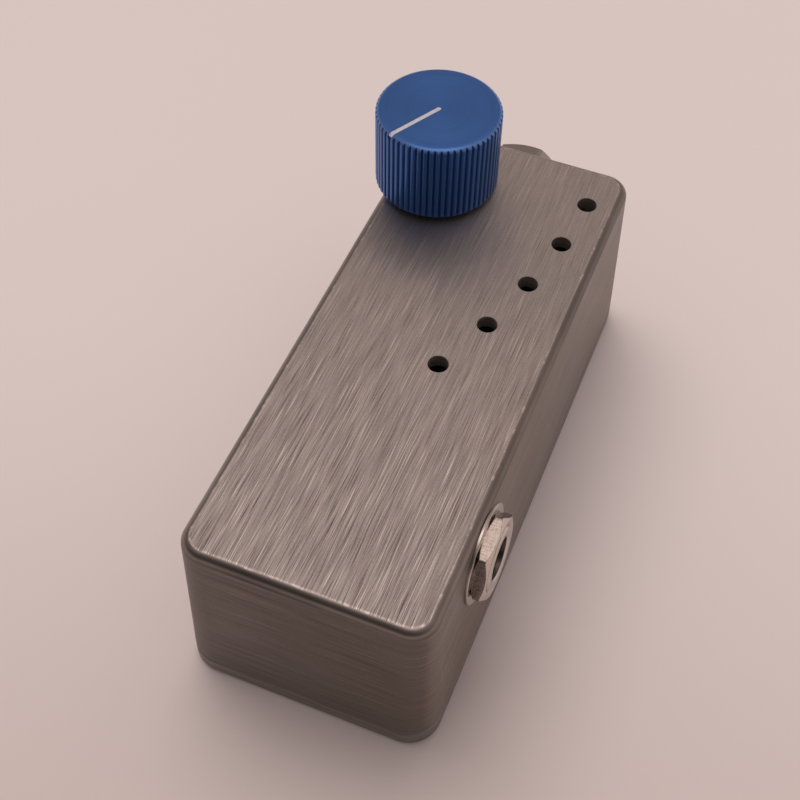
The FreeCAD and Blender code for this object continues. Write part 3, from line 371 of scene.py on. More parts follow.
def plated(name, colour, rough=0.16, lines=(2600, 2600, 2600), strength=0.15, tint=0.12, spots=0.5):
    """Plated or bare machined metal: soft mottling, fine tool lines and slight roughness changes."""
    M = Mat(name, Metallic=1.0)
    co = M.co()
    mott = M.noise(M.scale(co, (420, 420, 420)), 1.0, 3, 0.6)
    line = M.noise(M.scale(co, lines), 1.0, 2, 0.55)
    spot = M.range(M.noise(M.scale(co, (1500, 1500, 1500)), 1.0, 2, 0.5), 0.62, 0.74)
    tone = M.math("ADD", 1.0 - tint, M.math("MULTIPLY", M.math("ADD", M.math("MULTIPLY", mott, 0.6), M.math("MULTIPLY", line, 0.4)), 2 * tint))
    base = M.colour(M.math("MULTIPLY", spot, 0.25 * spots), M.times(colour, tone), (colour[0] * 0.62, colour[1] * 0.58, colour[2] * 0.52))
    r = M.math("ADD", rough - 0.05, M.math("MULTIPLY", mott, 0.10))
    r = M.math("ADD", r, M.math("MULTIPLY", spot, 0.10))
    return M.finish(base, r, M.bump(M.math("ADD", line, M.math("MULTIPLY", mott, 0.5)), strength, 0.00002))


def nut_nickel():
    """Nickel plate over milled facets: fine chatter marks across each facet, and painted shade that darkens the facets,
    most where they face the front or partly the back.
    """
    M = Mat("nut_nickel", Metallic=1.0)
    co = M.co()
    x, y, z = M.split(co)
    nx, ny, nz = M.split(M.normal())
    facet = M.math("MULTIPLY", M.range(M.math("ABSOLUTE", nx), 0.30, 0.55, 1.0, 0.0), M.range(M.math("ABSOLUTE", ny), 0.985, 0.995, 1.0, 0.0))
    mott = M.noise(M.scale(co, (420, 420, 420)), 1.0, 3, 0.6)
    mill = M.noise(M.scale(co, (1200, 5200, 5200)), 1.0, 2, 0.5)
    chatter = M.noise(M.scale(co, (7000, 900, 900)), 1.0, 1, 0.5)
    grid = M.math("ADD", M.math("MULTIPLY", mill, 0.6), M.math("MULTIPLY", chatter, 0.4))
    tone = M.math("ADD", 1.0, M.math("MULTIPLY", M.math("SUBTRACT", grid, 0.5), M.mix(facet, 0.25, 2.0)))
    tone = M.math("ADD", tone, M.math("MULTIPLY", M.math("SUBTRACT", mott, 0.5), 0.25))
    # painted shade on the facets, deepest where they face the front
    facet_shade = M.math("MAXIMUM", M.range(ny, -0.80, -0.60, 1.0, 0.0), M.math("MULTIPLY", M.range(ny, 0.15, 0.42), 0.9))
    tone = M.math("MULTIPLY", tone, M.mix(M.math("MULTIPLY", facet, facet_shade), M.mix(facet, 1.0, 0.64), 0.34))
    base = M.times((0.69, 0.60, 0.545), tone)
    rough = M.math("ADD", 0.15, M.math("ADD", M.math("MULTIPLY", mott, 0.08), M.math("MULTIPLY", M.math("MULTIPLY", facet, grid), 0.16)))
    return M.finish(base, rough, M.bump(grid, 0.35, 0.00002))


def plastic(name, colour, rough=0.42, speck=(0.0, 0.0, 0.0), amount=0.15, scale=1600, strength=0.2):
    M = Mat(name, Roughness=rough)
    co = M.co()
    a = M.noise(M.scale(co, (scale, scale, scale)), 1.0, 3, 0.6)
    b = M.noise(M.scale(co, (160, 160, 160)), 1.0, 2, 0.5)
    tone = M.math("ADD", 0.86, M.math("MULTIPLY", b, 0.28))
    base = M.colour(M.math("MULTIPLY", M.range(a, 0.48, 0.72), amount), M.times(colour, tone), speck)
    r = M.math("ADD", rough - 0.08, M.math("MULTIPLY", a, 0.16))
    return M.finish(base, r, M.bump(a, strength, 0.00003))


def board_green():
    """Solder mask with buried tracks, drawn by stretched cells, and a little gloss."""
    M = Mat("board_green_mask", Specular_IOR_Level=0.5, Coat_Weight=0.4, Coat_Roughness=0.18)
    co = M.co()
    cell = M.voronoi(M.scale(co, (330, 210, 330)), 1.0, "DISTANCE_TO_EDGE")
    track = M.range(cell, 0.035, 0.055, 1.0, 0.0)
    weave = M.noise(M.scale(co, (2600, 2600, 2600)), 1.0, 2, 0.5)
    base = M.colour(track, (0.012, 0.095, 0.035), (0.035, 0.185, 0.07))
    base = M.times(base, M.math("ADD", 0.82, M.math("MULTIPLY", weave, 0.36)))
    return M.finish(base, M.range(weave, 0.3, 0.7, 0.30, 0.44), M.bump(M.math("ADD", track, M.math("MULTIPLY", weave, 0.2)), 0.3, 0.00005))


def resistor_blue():
    """Metal-film resistor bodies with colour bands along Y, and tinned leads below and beyond them."""
    M = Mat("resistor_body")
    co = M.co()
    x, y, z = M.split(co)
    lead = M.math("LESS_THAN", z, 0.00834)
    rowa = M.math("LESS_THAN", y, -0.0185)
    centre = M.mix(rowa, -0.0120, -0.0248)
    left = M.math("LESS_THAN", x, -0.002)
    centre = M.mix(left, centre, -0.0294)
    d = M.math("SUBTRACT", y, centre)
    far = M.math("GREATER_THAN", M.math("ABSOLUTE", d), 0.00322)
    metal = M.math("MAXIMUM", lead, far)
    band = M.math("MULTIPLY", M.math("GREATER_THAN", M.math("FRACT", M.math("DIVIDE", M.math("ADD", d, 0.0032), 0.00118)), 0.62), M.math("LESS_THAN", M.math("ABSOLUTE", d), 0.0026))
    pick = M.noise(M.join(M.math("SNAP", M.math("MULTIPLY", x, 400), 1.0), M.math("SNAP", M.math("MULTIPLY", y, 850), 1.0), 0.3), 1.0, 0, 0.5)
    tint = M.colour(M.range(pick, 0.44, 0.5), (0.30, 0.07, 0.015), (0.55, 0.35, 0.03))
    grain = M.noise(M.scale(co, (2400, 2400, 2400)), 1.0, 2, 0.5)
    body = M.times((0.06, 0.20, 0.33), M.math("ADD", 0.85, M.math("MULTIPLY", grain, 0.3)))
    base = M.colour(metal, M.colour(band, body, tint), M.times((0.62, 0.60, 0.57), M.math("ADD", 0.85, M.math("MULTIPLY", grain, 0.3))))
    return M.finish(base, M.range(grain, 0.3, 0.7, 0.28, 0.42), M.bump(grain, 0.2, 0.00003), metallic=metal)


def film_red():
    M = Mat("film_capacitor_red", Specular_IOR_Level=0.5)
    co = M.co()
    x, y, z = M.split(co)
    metal = M.math("LESS_THAN", z, 0.0080)
    grain = M.noise(M.scale(co, (2600, 2600, 2600)), 1.0, 3, 0.6)
    soft = M.noise(M.scale(co, (300, 300, 300)), 1.0, 2, 0.5)
    base = M.times((0.42, 0.035, 0.02), M.math("ADD", 0.80, M.math("MULTIPLY", soft, 0.4)))
    base = M.colour(metal, base, (0.6, 0.58, 0.55))
    return M.finish(base, M.range(grain, 0.3, 0.7, 0.30, 0.48), M.bump(grain, 0.25, 0.00004), metallic=metal)


def sleeve_black():
    """Can capacitors: a black shrunk sleeve with a pale stripe, bare aluminium on top."""
    M = Mat("capacitor_sleeve", Specular_IOR_Level=0.5)
    co = M.co()
    x, y, z = M.split(co)
    nx, ny, nz = M.split(M.normal())
    lid = M.math("MULTIPLY", M.range(nz, 0.85, 0.95), M.math("GREATER_THAN", z, 0.0130))
    lead = M.math("LESS_THAN", z, 0.0081)
    stripe = M.math("MULTIPLY", M.range(nx, 0.80, 0.84), M.math("LESS_THAN", M.math("ABSOLUTE", nz), 0.5))
    grain = M.noise(M.scale(co, (1800, 1800, 1800)), 1.0, 3, 0.6)
    base = M.colour(stripe, M.times((0.022, 0.023, 0.028), M.math("ADD", 0.8, M.math("MULTIPLY", grain, 0.4))), M.times((0.50, 0.50, 0.48), M.math("ADD", 0.8, M.math("MULTIPLY", grain, 0.3))))
    metal = M.math("MAXIMUM", lid, lead)
    base = M.colour(metal, base, M.times((0.66, 0.65, 0.63), M.math("ADD", 0.8, M.math("MULTIPLY", grain, 0.3))))
    return M.finish(base, M.range(grain, 0.3, 0.7, 0.26, 0.44), M.bump(grain, 0.15, 0.00003), metallic=metal)


def tube_glass():
    """Clear glass with a silvery getter flash at the far end of the bulb."""
    M = Mat("tube_glass_clear", Transmission_Weight=0.92, IOR=1.5)
    co = M.co()
    x, y, z = M.split(co)
    wob = M.noise(M.scale(co, (260, 120, 260)), 1.0, 2, 0.5)
    flash = M.range(M.math("ADD", y, M.math("MULTIPLY", M.math("SUBTRACT", wob, 0.5), 0.004)), 0.0310, 0.0345)
    grain = M.noise(M.scale(co, (700, 700, 700)), 1.0, 2, 0.5)
    base = M.colour(flash, M.times((0.93, 0.95, 0.94), M.math("ADD", 0.96, M.math("MULTIPLY", grain, 0.06))), (0.30, 0.29, 0.28))
    rough = M.range(wob, 0.3, 0.7, 0.02, 0.06)
    return M.finish(base, rough, M.bump(wob, 0.08, 0.00005), metallic=M.math("MULTIPLY", flash, 0.85))


def mica():
    M = Mat("mica_spacer", Roughness=0.3, Specular_IOR_Level=0.6)
    co = M.co()
    a = M.noise(M.scale(co, (900, 900, 900)), 1.0, 4, 0.6)
    base = M.colour(M.range(a, 0.35, 0.65), (0.62, 0.57, 0.45), (0.80, 0.77, 0.68))
    return M.finish(base, M.range(a, 0.3, 0.7, 0.18, 0.4), M.bump(a, 0.15, 0.00003))


def insulation(name, colour):
    M = Mat(name, Roughness=0.4, Specular_IOR_Level=0.45)
    co = M.co()
    a = M.noise(M.scale(co, (1300, 1300, 1300)), 1.0, 3, 0.6)
    b = M.noise(M.scale(co, (220, 220, 220)), 1.0, 2, 0.5)
    base = M.times(colour, M.math("ADD", 0.82, M.math("ADD", M.math("MULTIPLY", b, 0.22), M.math("MULTIPLY", a, 0.14))))
    return M.finish(base, M.range(a, 0.3, 0.7, 0.32, 0.5), M.bump(a, 0.2, 0.00003))


def phenolic():
    """Paper laminate: brown with fine fibres in its plane."""
    M = Mat("phenolic_laminate", Specular_IOR_Level=0.4)
    co = M.co()
    fibre = M.noise(M.scale(co, (1900, 420, 3800)), 1.0, 3, 0.65)
    blot = M.noise(M.scale(co, (320, 320, 320)), 1.0, 2, 0.5)
    base = M.colour(M.range(fibre, 0.35, 0.7), (0.17, 0.075, 0.028), (0.30, 0.15, 0.06))
    base = M.times(base, M.math("ADD", 0.82, M.math("MULTIPLY", blot, 0.36)))
    return M.finish(base, M.range(fibre, 0.3, 0.7, 0.38, 0.55), M.bump(fibre, 0.25, 0.00003))


MATS = {
    "case": case_aluminium(),
    "lid": lid_aluminium(),
    "knob": knob_blue(),
    "paint": paint_white(),
    "nickel": plated("bright_nickel", (0.66, 0.605, 0.565), 0.15, (3000, 3000, 3000), 0.10, 0.06, 0.5),
    "nut": nut_nickel(),
    # painted shade: the bore of the bushings is a near-black nickel
    "bore": plated("bore_painted_shade", (0.105, 0.092, 0.085), 0.32, (1800, 1800, 1800), 0.2, 0.2, 0.8),
    "nickel_aged": plated("aged_nickel", (0.40, 0.365, 0.34), 0.24, (2600, 2600, 2600), 0.12, 0.10, 0.8),
    "nickel_washer": plated("nickel_washer", (0.58, 0.535, 0.50), 0.22, (2600, 2600, 2600), 0.12, 0.08, 0.6),
    "screw": plated("zinc_screw", (0.55, 0.55, 0.57), 0.26, (2200, 2200, 2200), 0.2, 0.12, 0.8),
    "set_screw": plated("blackened_screw", (0.055, 0.053, 0.055), 0.34, (2400, 2400, 2400), 0.2, 0.14, 0.2),
    "steel": plated("tinned_steel", (0.56, 0.54, 0.50), 0.30, (1800, 1800, 1800), 0.2, 0.14, 0.8),
    "bronze": plated("spring_bronze", (0.62, 0.45, 0.24), 0.24, (500, 2600, 2600), 0.15, 0.10, 0.6),
    "pot": plated("potentiometer_metal", (0.58, 0.56, 0.52), 0.28, (2000, 2000, 2000), 0.2, 0.12, 0.8),
    "tube_nickel": plated("tube_nickel_grey", (0.26, 0.25, 0.24), 0.42, (1500, 1500, 1500), 0.25, 0.15, 0.5),
    "solder": plated("solder_tin", (0.66, 0.66, 0.66), 0.24, (1100, 1100, 1100), 0.4, 0.10, 0.4),
    "black_plastic": plastic("black_moulding", (0.016, 0.016, 0.018), 0.45, (0.035, 0.035, 0.038), 0.3),
    "transistor": plastic("transistor_moulding", (0.018, 0.018, 0.019), 0.5, (0.04, 0.04, 0.042), 0.35, 2200, 0.35),
    "nylon": plastic("nylon_spacer", (0.60, 0.585, 0.53), 0.4, (0.45, 0.44, 0.40), 0.25),
    "board": board_green(),
    "resistor": resistor_blue(),
    "film": film_red(),
    "can": sleeve_black(),
    "glass": tube_glass(),
    "mica": mica(),
    "phenolic": phenolic(),
    "wire_white": insulation("wire_white_pvc", (0.62, 0.61, 0.57)),
    "wire_black": insulation("wire_black_pvc", (0.022, 0.022, 0.024)),
    "wire_red": insulation("wire_red_pvc", (0.42, 0.025, 0.018)),
    "wire_yellow": insulation("wire_yellow_pvc", (0.60, 0.40, 0.03)),
}

FINISH = {
    "enclosure_body": "case", "bottom_lid": "lid", "lid_screws": "screw", "knob": "knob", "knob_pointer": "paint", "knob_set_screw": "set_screw",
    "pot_shaft": "pot", "pot_rotor": "black_plastic", "pot_wiper": "bronze", "pot_bushing": "pot", "pot_washer": "pot", "pot_nut": "pot",
    "pot_housing": "black_plastic", "pot_track": "phenolic", "pot_terminals": "steel",
    "dc_jack_shell": "nickel", "dc_jack_nut": "nickel", "dc_jack_insulator": "black_plastic", "dc_jack_pin": "nickel", "dc_jack_spring": "bronze",
    "dc_jack_terminal": "steel", "resistors": "resistor", "protection_diode": "transistor", "film_capacitors": "film", "electrolytic_capacitors": "can",
    "transistors": "transistor", "heater_regulator": "transistor", "tube_glass": "glass", "tube_anode": "tube_nickel", "tube_grid": "steel",
    "tube_cathode": "tube_nickel", "tube_micas": "mica", "tube_getter": "tube_nickel", "tube_leads": "steel", "tube_clips": "nylon",
    "input_wire": "wire_white", "output_wire": "wire_yellow", "ground_wires": "wire_black", "power_wires": "wire_red", "pot_wires": "wire_white",
    "circuit_board": "board", "board_standoffs": "nylon", "board_screws": "screw", "solder_joints": "solder",
}
for side in ("input", "output"):
    FINISH.update({side + "_jack_bushing": "nickel", side + "_jack_washer": "nickel_washer", side + "_jack_nut": "nickel", side + "_jack_frame": "steel",
                   side + "_jack_insulators": "phenolic", side + "_jack_tip_terminal": "bronze", side + "_jack_tip_spring": "bronze",
                   side + "_jack_rivets": "steel"})
for name, ob in NODES.items():
    material = MATS[FINISH[name]]
    if not ob.material_slots:
        ob.data.materials.append(material)
    for sl in ob.material_slots:
        sl.material = material


# ---------------------------------------------------------------- mesh pieces
def smin(a, b, k):
    """Smooth minimum of two arrays, rounding their meeting over about k."""
    h = np.clip(0.5 + 0.5 * (b - a) / k, 0.0, 1.0)
    return b * (1 - h) + a * h - k * h * (1 - h)


def mesh_object(name, verts, faces, material, matrix=None, sharp=40.0):
    me = bpy.data.meshes.new(name)
    v = [Vector(p) for p in verts]
    if matrix is not None:
        v = [matrix @ p for p in v]
    me.from_pydata([tuple(p) for p in v], [], faces)
    me.validate()
    bm = bmesh.new()
    bm.from_mesh(me)
    bmesh.ops.remove_doubles(bm, verts=bm.verts, dist=1e-8)
    bmesh.ops.recalc_face_normals(bm, faces=bm.faces)
    bm.to_mesh(me)
    bm.free()
    me.polygons.foreach_set("use_smooth", [True] * len(me.polygons))
    if sharp:
        me.set_sharp_from_angle(angle=math.radians(sharp))
    me.materials.append(material)
    ob = bpy.data.objects.new(name, me)
    SCENE.collection.objects.link(ob)
    return ob


def lathe(name, profile, radius_at, n, material, matrix=None, closed=True, sharp=40.0):
    """Turned solid about z. profile is a list of (r, z, kind); radius_at(kind, r, z, theta array) gives each ring's radii.
    A closed profile joins its last ring to its first; an open one starts and ends on the axis."""
    theta = np.arange(n) * TAU / n
    verts, rings = [], []
    for r, z, kind in profile:
        if r <= 1e-9:
            rings.append([len(verts)])
            verts.append((0.0, 0.0, z))
            continue
        rad, zz = radius_at(kind, r, z, theta)
        rings.append(list(range(len(verts), len(verts) + n)))
        verts += list(zip(rad * np.cos(theta), rad * np.sin(theta), zz))
    faces = []
    pairs = list(zip(rings[:-1], rings[1:]))
    if closed:
        pairs.append((rings[-1], rings[0]))
    for a, b in pairs:
        if len(a) == 1 and len(b) == 1:
            continue
        for i in range(n):
            j = (i + 1) % n
            if len(a) == 1:
                faces.append((a[0], b[i], b[j]))
            elif len(b) == 1:
                faces.append((a[i], b[0], a[j]))
            else:
                faces.append((a[i], b[i], b[j], a[j]))
    return mesh_object(name, verts, faces, material, matrix, sharp)


def plain(kind, r, z, th):
    return np.full_like(th, r), np.full_like(th, z)


def rounded(points, radius=0.08, steps=4):
    """Profile corners rounded by arcs: points are (r, z, kind, corner radius or None for the default)."""
    out = []
    n = len(points)
    for i, p in enumerate(points):
        r, z, kind = p[:3]
        rad = p[3] if len(p) > 3 and p[3] is not None else radius
        a, b = points[(i - 1) % n], points[(i + 1) % n]
        if rad <= 0 or r <= 1e-9:
            out.append((r, z, kind))
            continue
        q, va, vb = Vector((r, z)), Vector((a[0] - r, a[1] - z)), Vector((b[0] - r, b[1] - z))
        if va.length < 1e-9 or vb.length < 1e-9:
            out.append((r, z, kind))
            continue
        ua, ub = va.normalized(), vb.normalized()
        half = math.acos(max(-1.0, min(1.0, ua.dot(ub)))) / 2
        if half > math.radians(89) or half < math.radians(5):
            out.append((r, z, kind))
            continue
        cut = min(rad / math.tan(half), 0.45 * va.length, 0.45 * vb.length)
        rr = cut * math.tan(half)
        centre = q + (ua + ub).normalized() * (rr / math.sin(half))
        s, e = q + ua * cut - centre, q + ub * cut - centre
        a0 = math.atan2(s.y, s.x)
        da = math.atan2(e.y, e.x) - a0
        while da > math.pi:
            da -= TAU
        while da < -math.pi:
            da += TAU
        for k in range(steps + 1):
            t = a0 + da * k / steps
            out.append((centre.x + rr * math.cos(t), centre.y + rr * math.sin(t), kind))
    return out


def apply_boolean(ob, cutter):
    mod = ob.modifiers.new("cut", "BOOLEAN")
    mod.operation, mod.solver, mod.object = "DIFFERENCE", "EXACT", cutter
    bpy.context.view_layer.update()
    dg = bpy.context.evaluated_depsgraph_get()
    me = bpy.data.meshes.new_from_object(ob.evaluated_get(dg), depsgraph=dg)
    ob.modifiers.clear()
    old = ob.data
    ob.data = me
    me.name = old.name
    bpy.data.meshes.remove(old)
    bpy.data.objects.remove(cutter)


# ---- knob: turned and fluted, its rim rounded so that each flute ends in a small arc
def make_knob():
    per = 14
    n = FLUTES * per
    step = TAU / FLUTES

    def flute(th):
        """Outer radius of the fluted side: wide lands between round-bottomed grooves."""
        f = np.abs(((th / step + 0.5) % 1.0) - 0.5) * 2          # 1 at a groove's centre, 0 at a land's
        g = np.clip((f - 0.50) / 0.50, 0, 1)
        land = KNOB_R - 0.015 * (f / 0.5) ** 2
        return np.where(f < 0.5, land, KNOB_R - 0.015 - (FLUTE_DEPTH - 0.015) * np.sin(g * math.pi / 2) ** 1.25)

    def radius_at(kind, r, z, th):
        if kind != "side":
            return plain(kind, r, z, th)
        return smin(np.full_like(th, r), flute(th), 0.05), np.full_like(th, z)

    out = []
    for r in (0.0, 0.6, 2, 4, 6, 7.6, 8.6):
        out.append((r, KNOB_Z1, "flat"))
    rim = KNOB_R - KNOB_ROUND
    for k in range(25):                                       # rounded rim, fine enough for the flutes' arcs
        u = KNOB_ROUND * (1 - (1 - k / 24) ** 1.6)
        out.append((rim + 0.04 + u, KNOB_Z1 - rim_drop(u), "side"))
    side_top = KNOB_Z1 - RIM_DROP - 0.06
    for k in range(1, 9):
        z = side_top + (KNOB_Z0 + 0.46 - side_top) * k / 8
        out.append((KNOB_R + 0.3, z, "side"))
    for k in range(1, 9):                                     # lower chamfer
        t = 0.46 * k / 8
        out.append((KNOB_R + 0.06 - t, KNOB_Z0 + 0.46 - t, "side"))
    out += [(9.2, KNOB_Z0, "flat"), (8.0, KNOB_Z0, "flat")]
    out += [(7.35, KNOB_Z0, "flat"), (7.30, KNOB_Z0 + 0.05, "flat"), (7.30, KNOB_Z0 + 1.6, "flat"), (7.30, KNOB_Z0 + 3.15, "flat"), (7.25, KNOB_Z0 + 3.2, "flat")]
    out += [(5.0, KNOB_Z0 + 3.2, "flat"), (3.3, KNOB_Z0 + 3.2, "flat"), (3.04, KNOB_Z0 + 3.45, "flat"), (3.04, 39.0, "flat"), (3.04, 43.7, "flat"), (1.5, 43.7, "flat"), (0.0, 43.7, "flat")]
    place = Matrix.Translation((KNOB_X * MM, KNOB_Y * MM, 0)) @ Matrix.Scale(MM, 4)
    knob = lathe("blue_knob", out, radius_at, n, MATS["knob"], place, closed=False, sharp=None)

    # groove of the pointer, round-ended near the centre and running out over the rim
    pdir = Vector((math.cos(POINTER), math.sin(POINTER), 0))
    pside = Vector((-pdir.y, pdir.x, 0))
    centre = Vector((KNOB_X, KNOB_Y, 0))
    w, g = 0.35, 0.22
    line = [(0.1 + w * math.cos(a), w * math.sin(a)) for a in np.linspace(math.radians(270), math.radians(90), 9)]
    outline = line + [(rim - 0.1, w), (KNOB_R + 0.25, w), (KNOB_R + 0.9, w), (KNOB_R + 0.9, -w), (KNOB_R + 0.25, -w), (rim - 0.1, -w)]

    def floor(u):
        if u <= rim - 0.1:
            return KNOB_Z1 - g
        if u <= KNOB_R + 0.25:
            t = (u - rim + 0.1) / (KNOB_R + 0.25 - rim + 0.1)
            return KNOB_Z1 - g + (-KNOB_ROUND - 0.15) * t
        return KNOB_Z1 - KNOB_ROUND - g - 0.15 - (u - KNOB_R - 0.25)
    low = [(centre + pdir * u + pside * v + Vector((0, 0, floor(u)))) * MM for u, v in outline]
    high = [(centre + pdir * u + pside * v + Vector((0, 0, KNOB_Z1 + 0.6))) * MM for u, v in outline]
    m = len(outline)
    # the floor bends twice, so it is three faces
    faces = [[i, (i + 1) % m, m + (i + 1) % m, m + i] for i in range(m)]
    q = 9
    faces += [list(range(0, 9)) + [q, q + 5], [q, q + 1, q + 4, q + 5], [q + 1, q + 2, q + 3, q + 4], list(range(m, 2 * m))]
    cutter = mesh_object("groove_cutter", low + high, faces, MATS["knob"], None, None)
    apply_boolean(knob, cutter)

    # hole for the set screw, opposite the pointer
    back = -pdir
    up = Vector((0, 0, 1))
    across = back.cross(up)
    ring, sh = [], 38.2
    for d in (2.0, 12.0):
        for k in range(48):
            a = TAU * k / 48
            ring.append((centre + back * d + across * (1.55 * math.cos(a)) + Vector((0, 0, sh)) + up * (1.55 * math.sin(a))) * MM)
    faces = [[k, (k + 1) % 48, 48 + (k + 1) % 48, 48 + k] for k in range(48)] + [list(range(48)), list(range(95, 47, -1))]
    cutter = mesh_object("screw_hole_cutter", ring, faces, MATS["knob"], None, None)
    apply_boolean(knob, cutter)
    me = knob.data
    me.polygons.foreach_set("use_smooth", [True] * len(me.polygons))
    me.set_sharp_from_angle(angle=math.radians(42))
    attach(knob, "knob")
    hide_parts("knob")
    return knob


def make_pointer():
    """White paint in the knob's groove: a shallow meniscus that follows the face and the start of the rounded rim."""
    pdir = Vector((math.cos(POINTER), math.sin(POINTER), 0))
    pside = Vector((-pdir.y, pdir.x, 0))
    centre = Vector((KNOB_X, KNOB_Y, 0))
    rim = KNOB_R - KNOB_ROUND
    half, start, end = 0.343, 0.1, KNOB_R - 0.20

    def surface(u):
        return KNOB_Z1 - rim_drop(u - rim - 0.04)

    us = [start - half * math.cos(t) for t in np.linspace(0.12, math.pi / 2, 7)]
    us += list(np.linspace(start + 0.3, rim, 24)) + list(rim + (end - rim) * np.linspace(0.08, 1.0, 12))
    cross = np.linspace(-1, 1, 9)
    top, low = [], []
    for i, u in enumerate(us):
        w = half * math.sin(math.acos(max(-1.0, min(1.0, (start - u) / half)))) if u < start else half
        w *= 1.0 if i < len(us) - 1 else 0.9
        for c in cross:
            wave = 0.006 * math.sin(u * 5.1 + c) + 0.004 * math.sin(u * 13.7)
            p = centre + pdir * u + pside * (w * c)
            top.append((p + Vector((0, 0, surface(u) - 0.045 + 0.03 * abs(c) ** 3 + wave))) * MM)
            low.append((p + Vector((0, 0, surface(u) - 0.16))) * MM)
    n, m = len(cross), len(us)
    base = n * m
    faces = []
    for i in range(m - 1):
        for j in range(n - 1):
            a, b, c, d = i * n + j, i * n + j + 1, (i + 1) * n + j + 1, (i + 1) * n + j
            faces += [(a, b, c, d), (base + d, base + c, base + b, base + a)]
        for a, b in ((i * n, (i + 1) * n), ((i + 1) * n + n - 1, i * n + n - 1)):
            faces.append((a, b, base + b, base + a))
    for j in range(n - 1):
        faces.append((j + 1, j, base + j, base + j + 1))
        a, b = (m - 1) * n + j, (m - 1) * n + j + 1
        faces.append((a, b, base + b, base + a))
    ob = mesh_object("pointer_paint", top + low, faces, MATS["paint"], None, 50)
    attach(ob, "knob")
    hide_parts("knob_pointer")


make_knob()
make_pointer()


# ---- hexagon nuts: rounded corners under a turned chamfer, both faces slightly broken
def make_nut(name, node, frame_matrix, af, bore, z0, z1, turn, pitch, outer=0.965, inner=0.965, finish="nut"):
    """outer and inner are the turned circles of the two faces as parts of half the width across the flats."""
    n = 288
    r0, r1 = af / 2 * inner, af / 2 * outer
    rf = min(r0, r1)
    rc = af / math.sqrt(3.0)
    tan30 = math.tan(math.radians(30))

    def hexa(th):
        # distance to the nearest flat, softened at the corner
        b = (th - math.radians(turn)) % math.radians(60)
        f1 = (af / 2) / np.cos(b - math.radians(30))
        return smin(f1, np.full_like(f1, rc - 0.07), 0.09)

    def radius_at(kind, r, z, th):
        if kind != "hex":
            return plain(kind, r, z, th)
        cone = np.full_like(th, min(r0 + (z - z0) / tan30, r1 + (z1 - z) / tan30))
        return smin(hexa(th), cone, 0.05), np.full_like(th, z)

    def depths(r):
        return [0.0, 0.012, 0.04, 0.08] + list(np.linspace(0.12, (rc - r) * tan30 + 0.12, 12))
    zs = [z0 + d for d in depths(r0)] + [z1 - d for d in reversed(depths(r1))]
    prof = [(rf, z, "hex") for z in zs]
    c = 0.35
    # turned outer face with a fine raised ring round the thread, as cut from bar
    prof += [(rf - 0.10, z1 + 0.0, "flat"), ((rf + bore + c) / 2 + 0.18, z1, "flat"), ((rf + bore + c) / 2, z1 - 0.012, "flat"), (bore + c + 0.05, z1, "flat"),
             (bore + c, z1 - 0.02, "flat"), (bore + 0.02, z1 - c + 0.02, "flat"), (bore, z1 - c - 0.03, "flat")]
    turns = int((z1 - c - 0.05 - z0) / (pitch / 2))
    for k in range(1, turns):
        z = z1 - c - 0.03 - k * pitch / 2
        if z < z0 + 0.12:
            break
        prof.append((bore + (0.16 if k % 2 else 0.0), z, "flat"))
    prof += [(bore, z0 + 0.06, "flat"), (bore + 0.06, z0, "flat"), (rf - 0.10, z0, "flat")]
    nut = lathe(name, prof, radius_at, n, MATS[finish], frame_matrix, closed=True, sharp=50)
    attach(nut, "case")
    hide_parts(node)
    return nut


make_nut("input_nut", "input_jack_nut", IN_FRAME, 11.8, 4.75, 0.45, 2.4, 10.0, 0.75, 0.98, 1.015)
make_nut("output_nut", "output_jack_nut", OUT_FRAME, 11.8, 4.75, 0.45, 2.4, 24.0, 0.75, 0.98, 1.015)
make_nut("power_nut", "dc_jack_nut", DC_FRAME, 12.0, 3.98, 0.0, 3.2, -10.0, 0.75, finish="nickel_aged")


# ---- washers, pressed from strip: one rounded edge and one slight burr
def make_washer(name, node, frame_matrix):
    pts = [(4.95, 0.0, "w", 0.04), (7.4, 0.0, "w", 0.04), (7.4, 0.45, "w", 0.15), (4.95, 0.45, "w", 0.06)]
    prof = []
    for i, p in enumerate(rounded(pts, 0.05, 5)):
        prof.append(p)
    ob = lathe(name, prof, plain, 160, MATS["nickel_washer"], frame_matrix, closed=True, sharp=50)
    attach(ob, "case")
    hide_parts(node)
    return ob


make_washer("input_washer", "input_jack_washer", IN_FRAME)
make_washer("output_washer", "output_jack_washer", OUT_FRAME)


# ---- threaded bushings of the jack sockets and the power socket
def threaded(name, node, frame_matrix, crest, root, pitch, z_lo, z_hi, tail, head, n=96):
    """head and tail are the turned profiles beyond the thread, from the bore to the thread's start and back."""
    rows = max(8, int((z_hi - z_lo) / pitch * 12))

    def radius_at(kind, r, z, th):
        if kind != "thread":
            return plain(kind, r, z, th)
        ph = (z / pitch - th / TAU) % 1.0
        tri = 1 - np.abs(ph * 2 - 1)                          # 0 at the root, 1 at the crest
        rad = root + (crest - root) * np.clip(tri * 1.35 - 0.12, 0, 1)
        fade = min(1.0, (z_hi - z) / (0.5 * pitch), (z - z_lo) / (0.5 * pitch))
        return crest - (crest - rad) * max(0.0, fade), np.full_like(th, z)

    zs = np.linspace(z_lo, z_hi, rows)
    prof = tail + [(crest, float(z), "thread") for z in zs] + head
    ob = lathe(name, prof, radius_at, n, MATS["nickel"], frame_matrix, closed=True, sharp=45)
    # the bore faces take the near-black nickel, painted shade inside the hole
    ob.data.materials.append(MATS["bore"])
    back = frame_matrix.inverted()
    hole = min(r for r, z, kind in prof) + 0.06
    for f in ob.data.polygons:
        if all(math.hypot(*(back @ ob.data.vertices[i].co).xy) < hole for i in f.vertices):
            f.material_index = 1
    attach(ob, "case")
    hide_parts(node)
    return ob


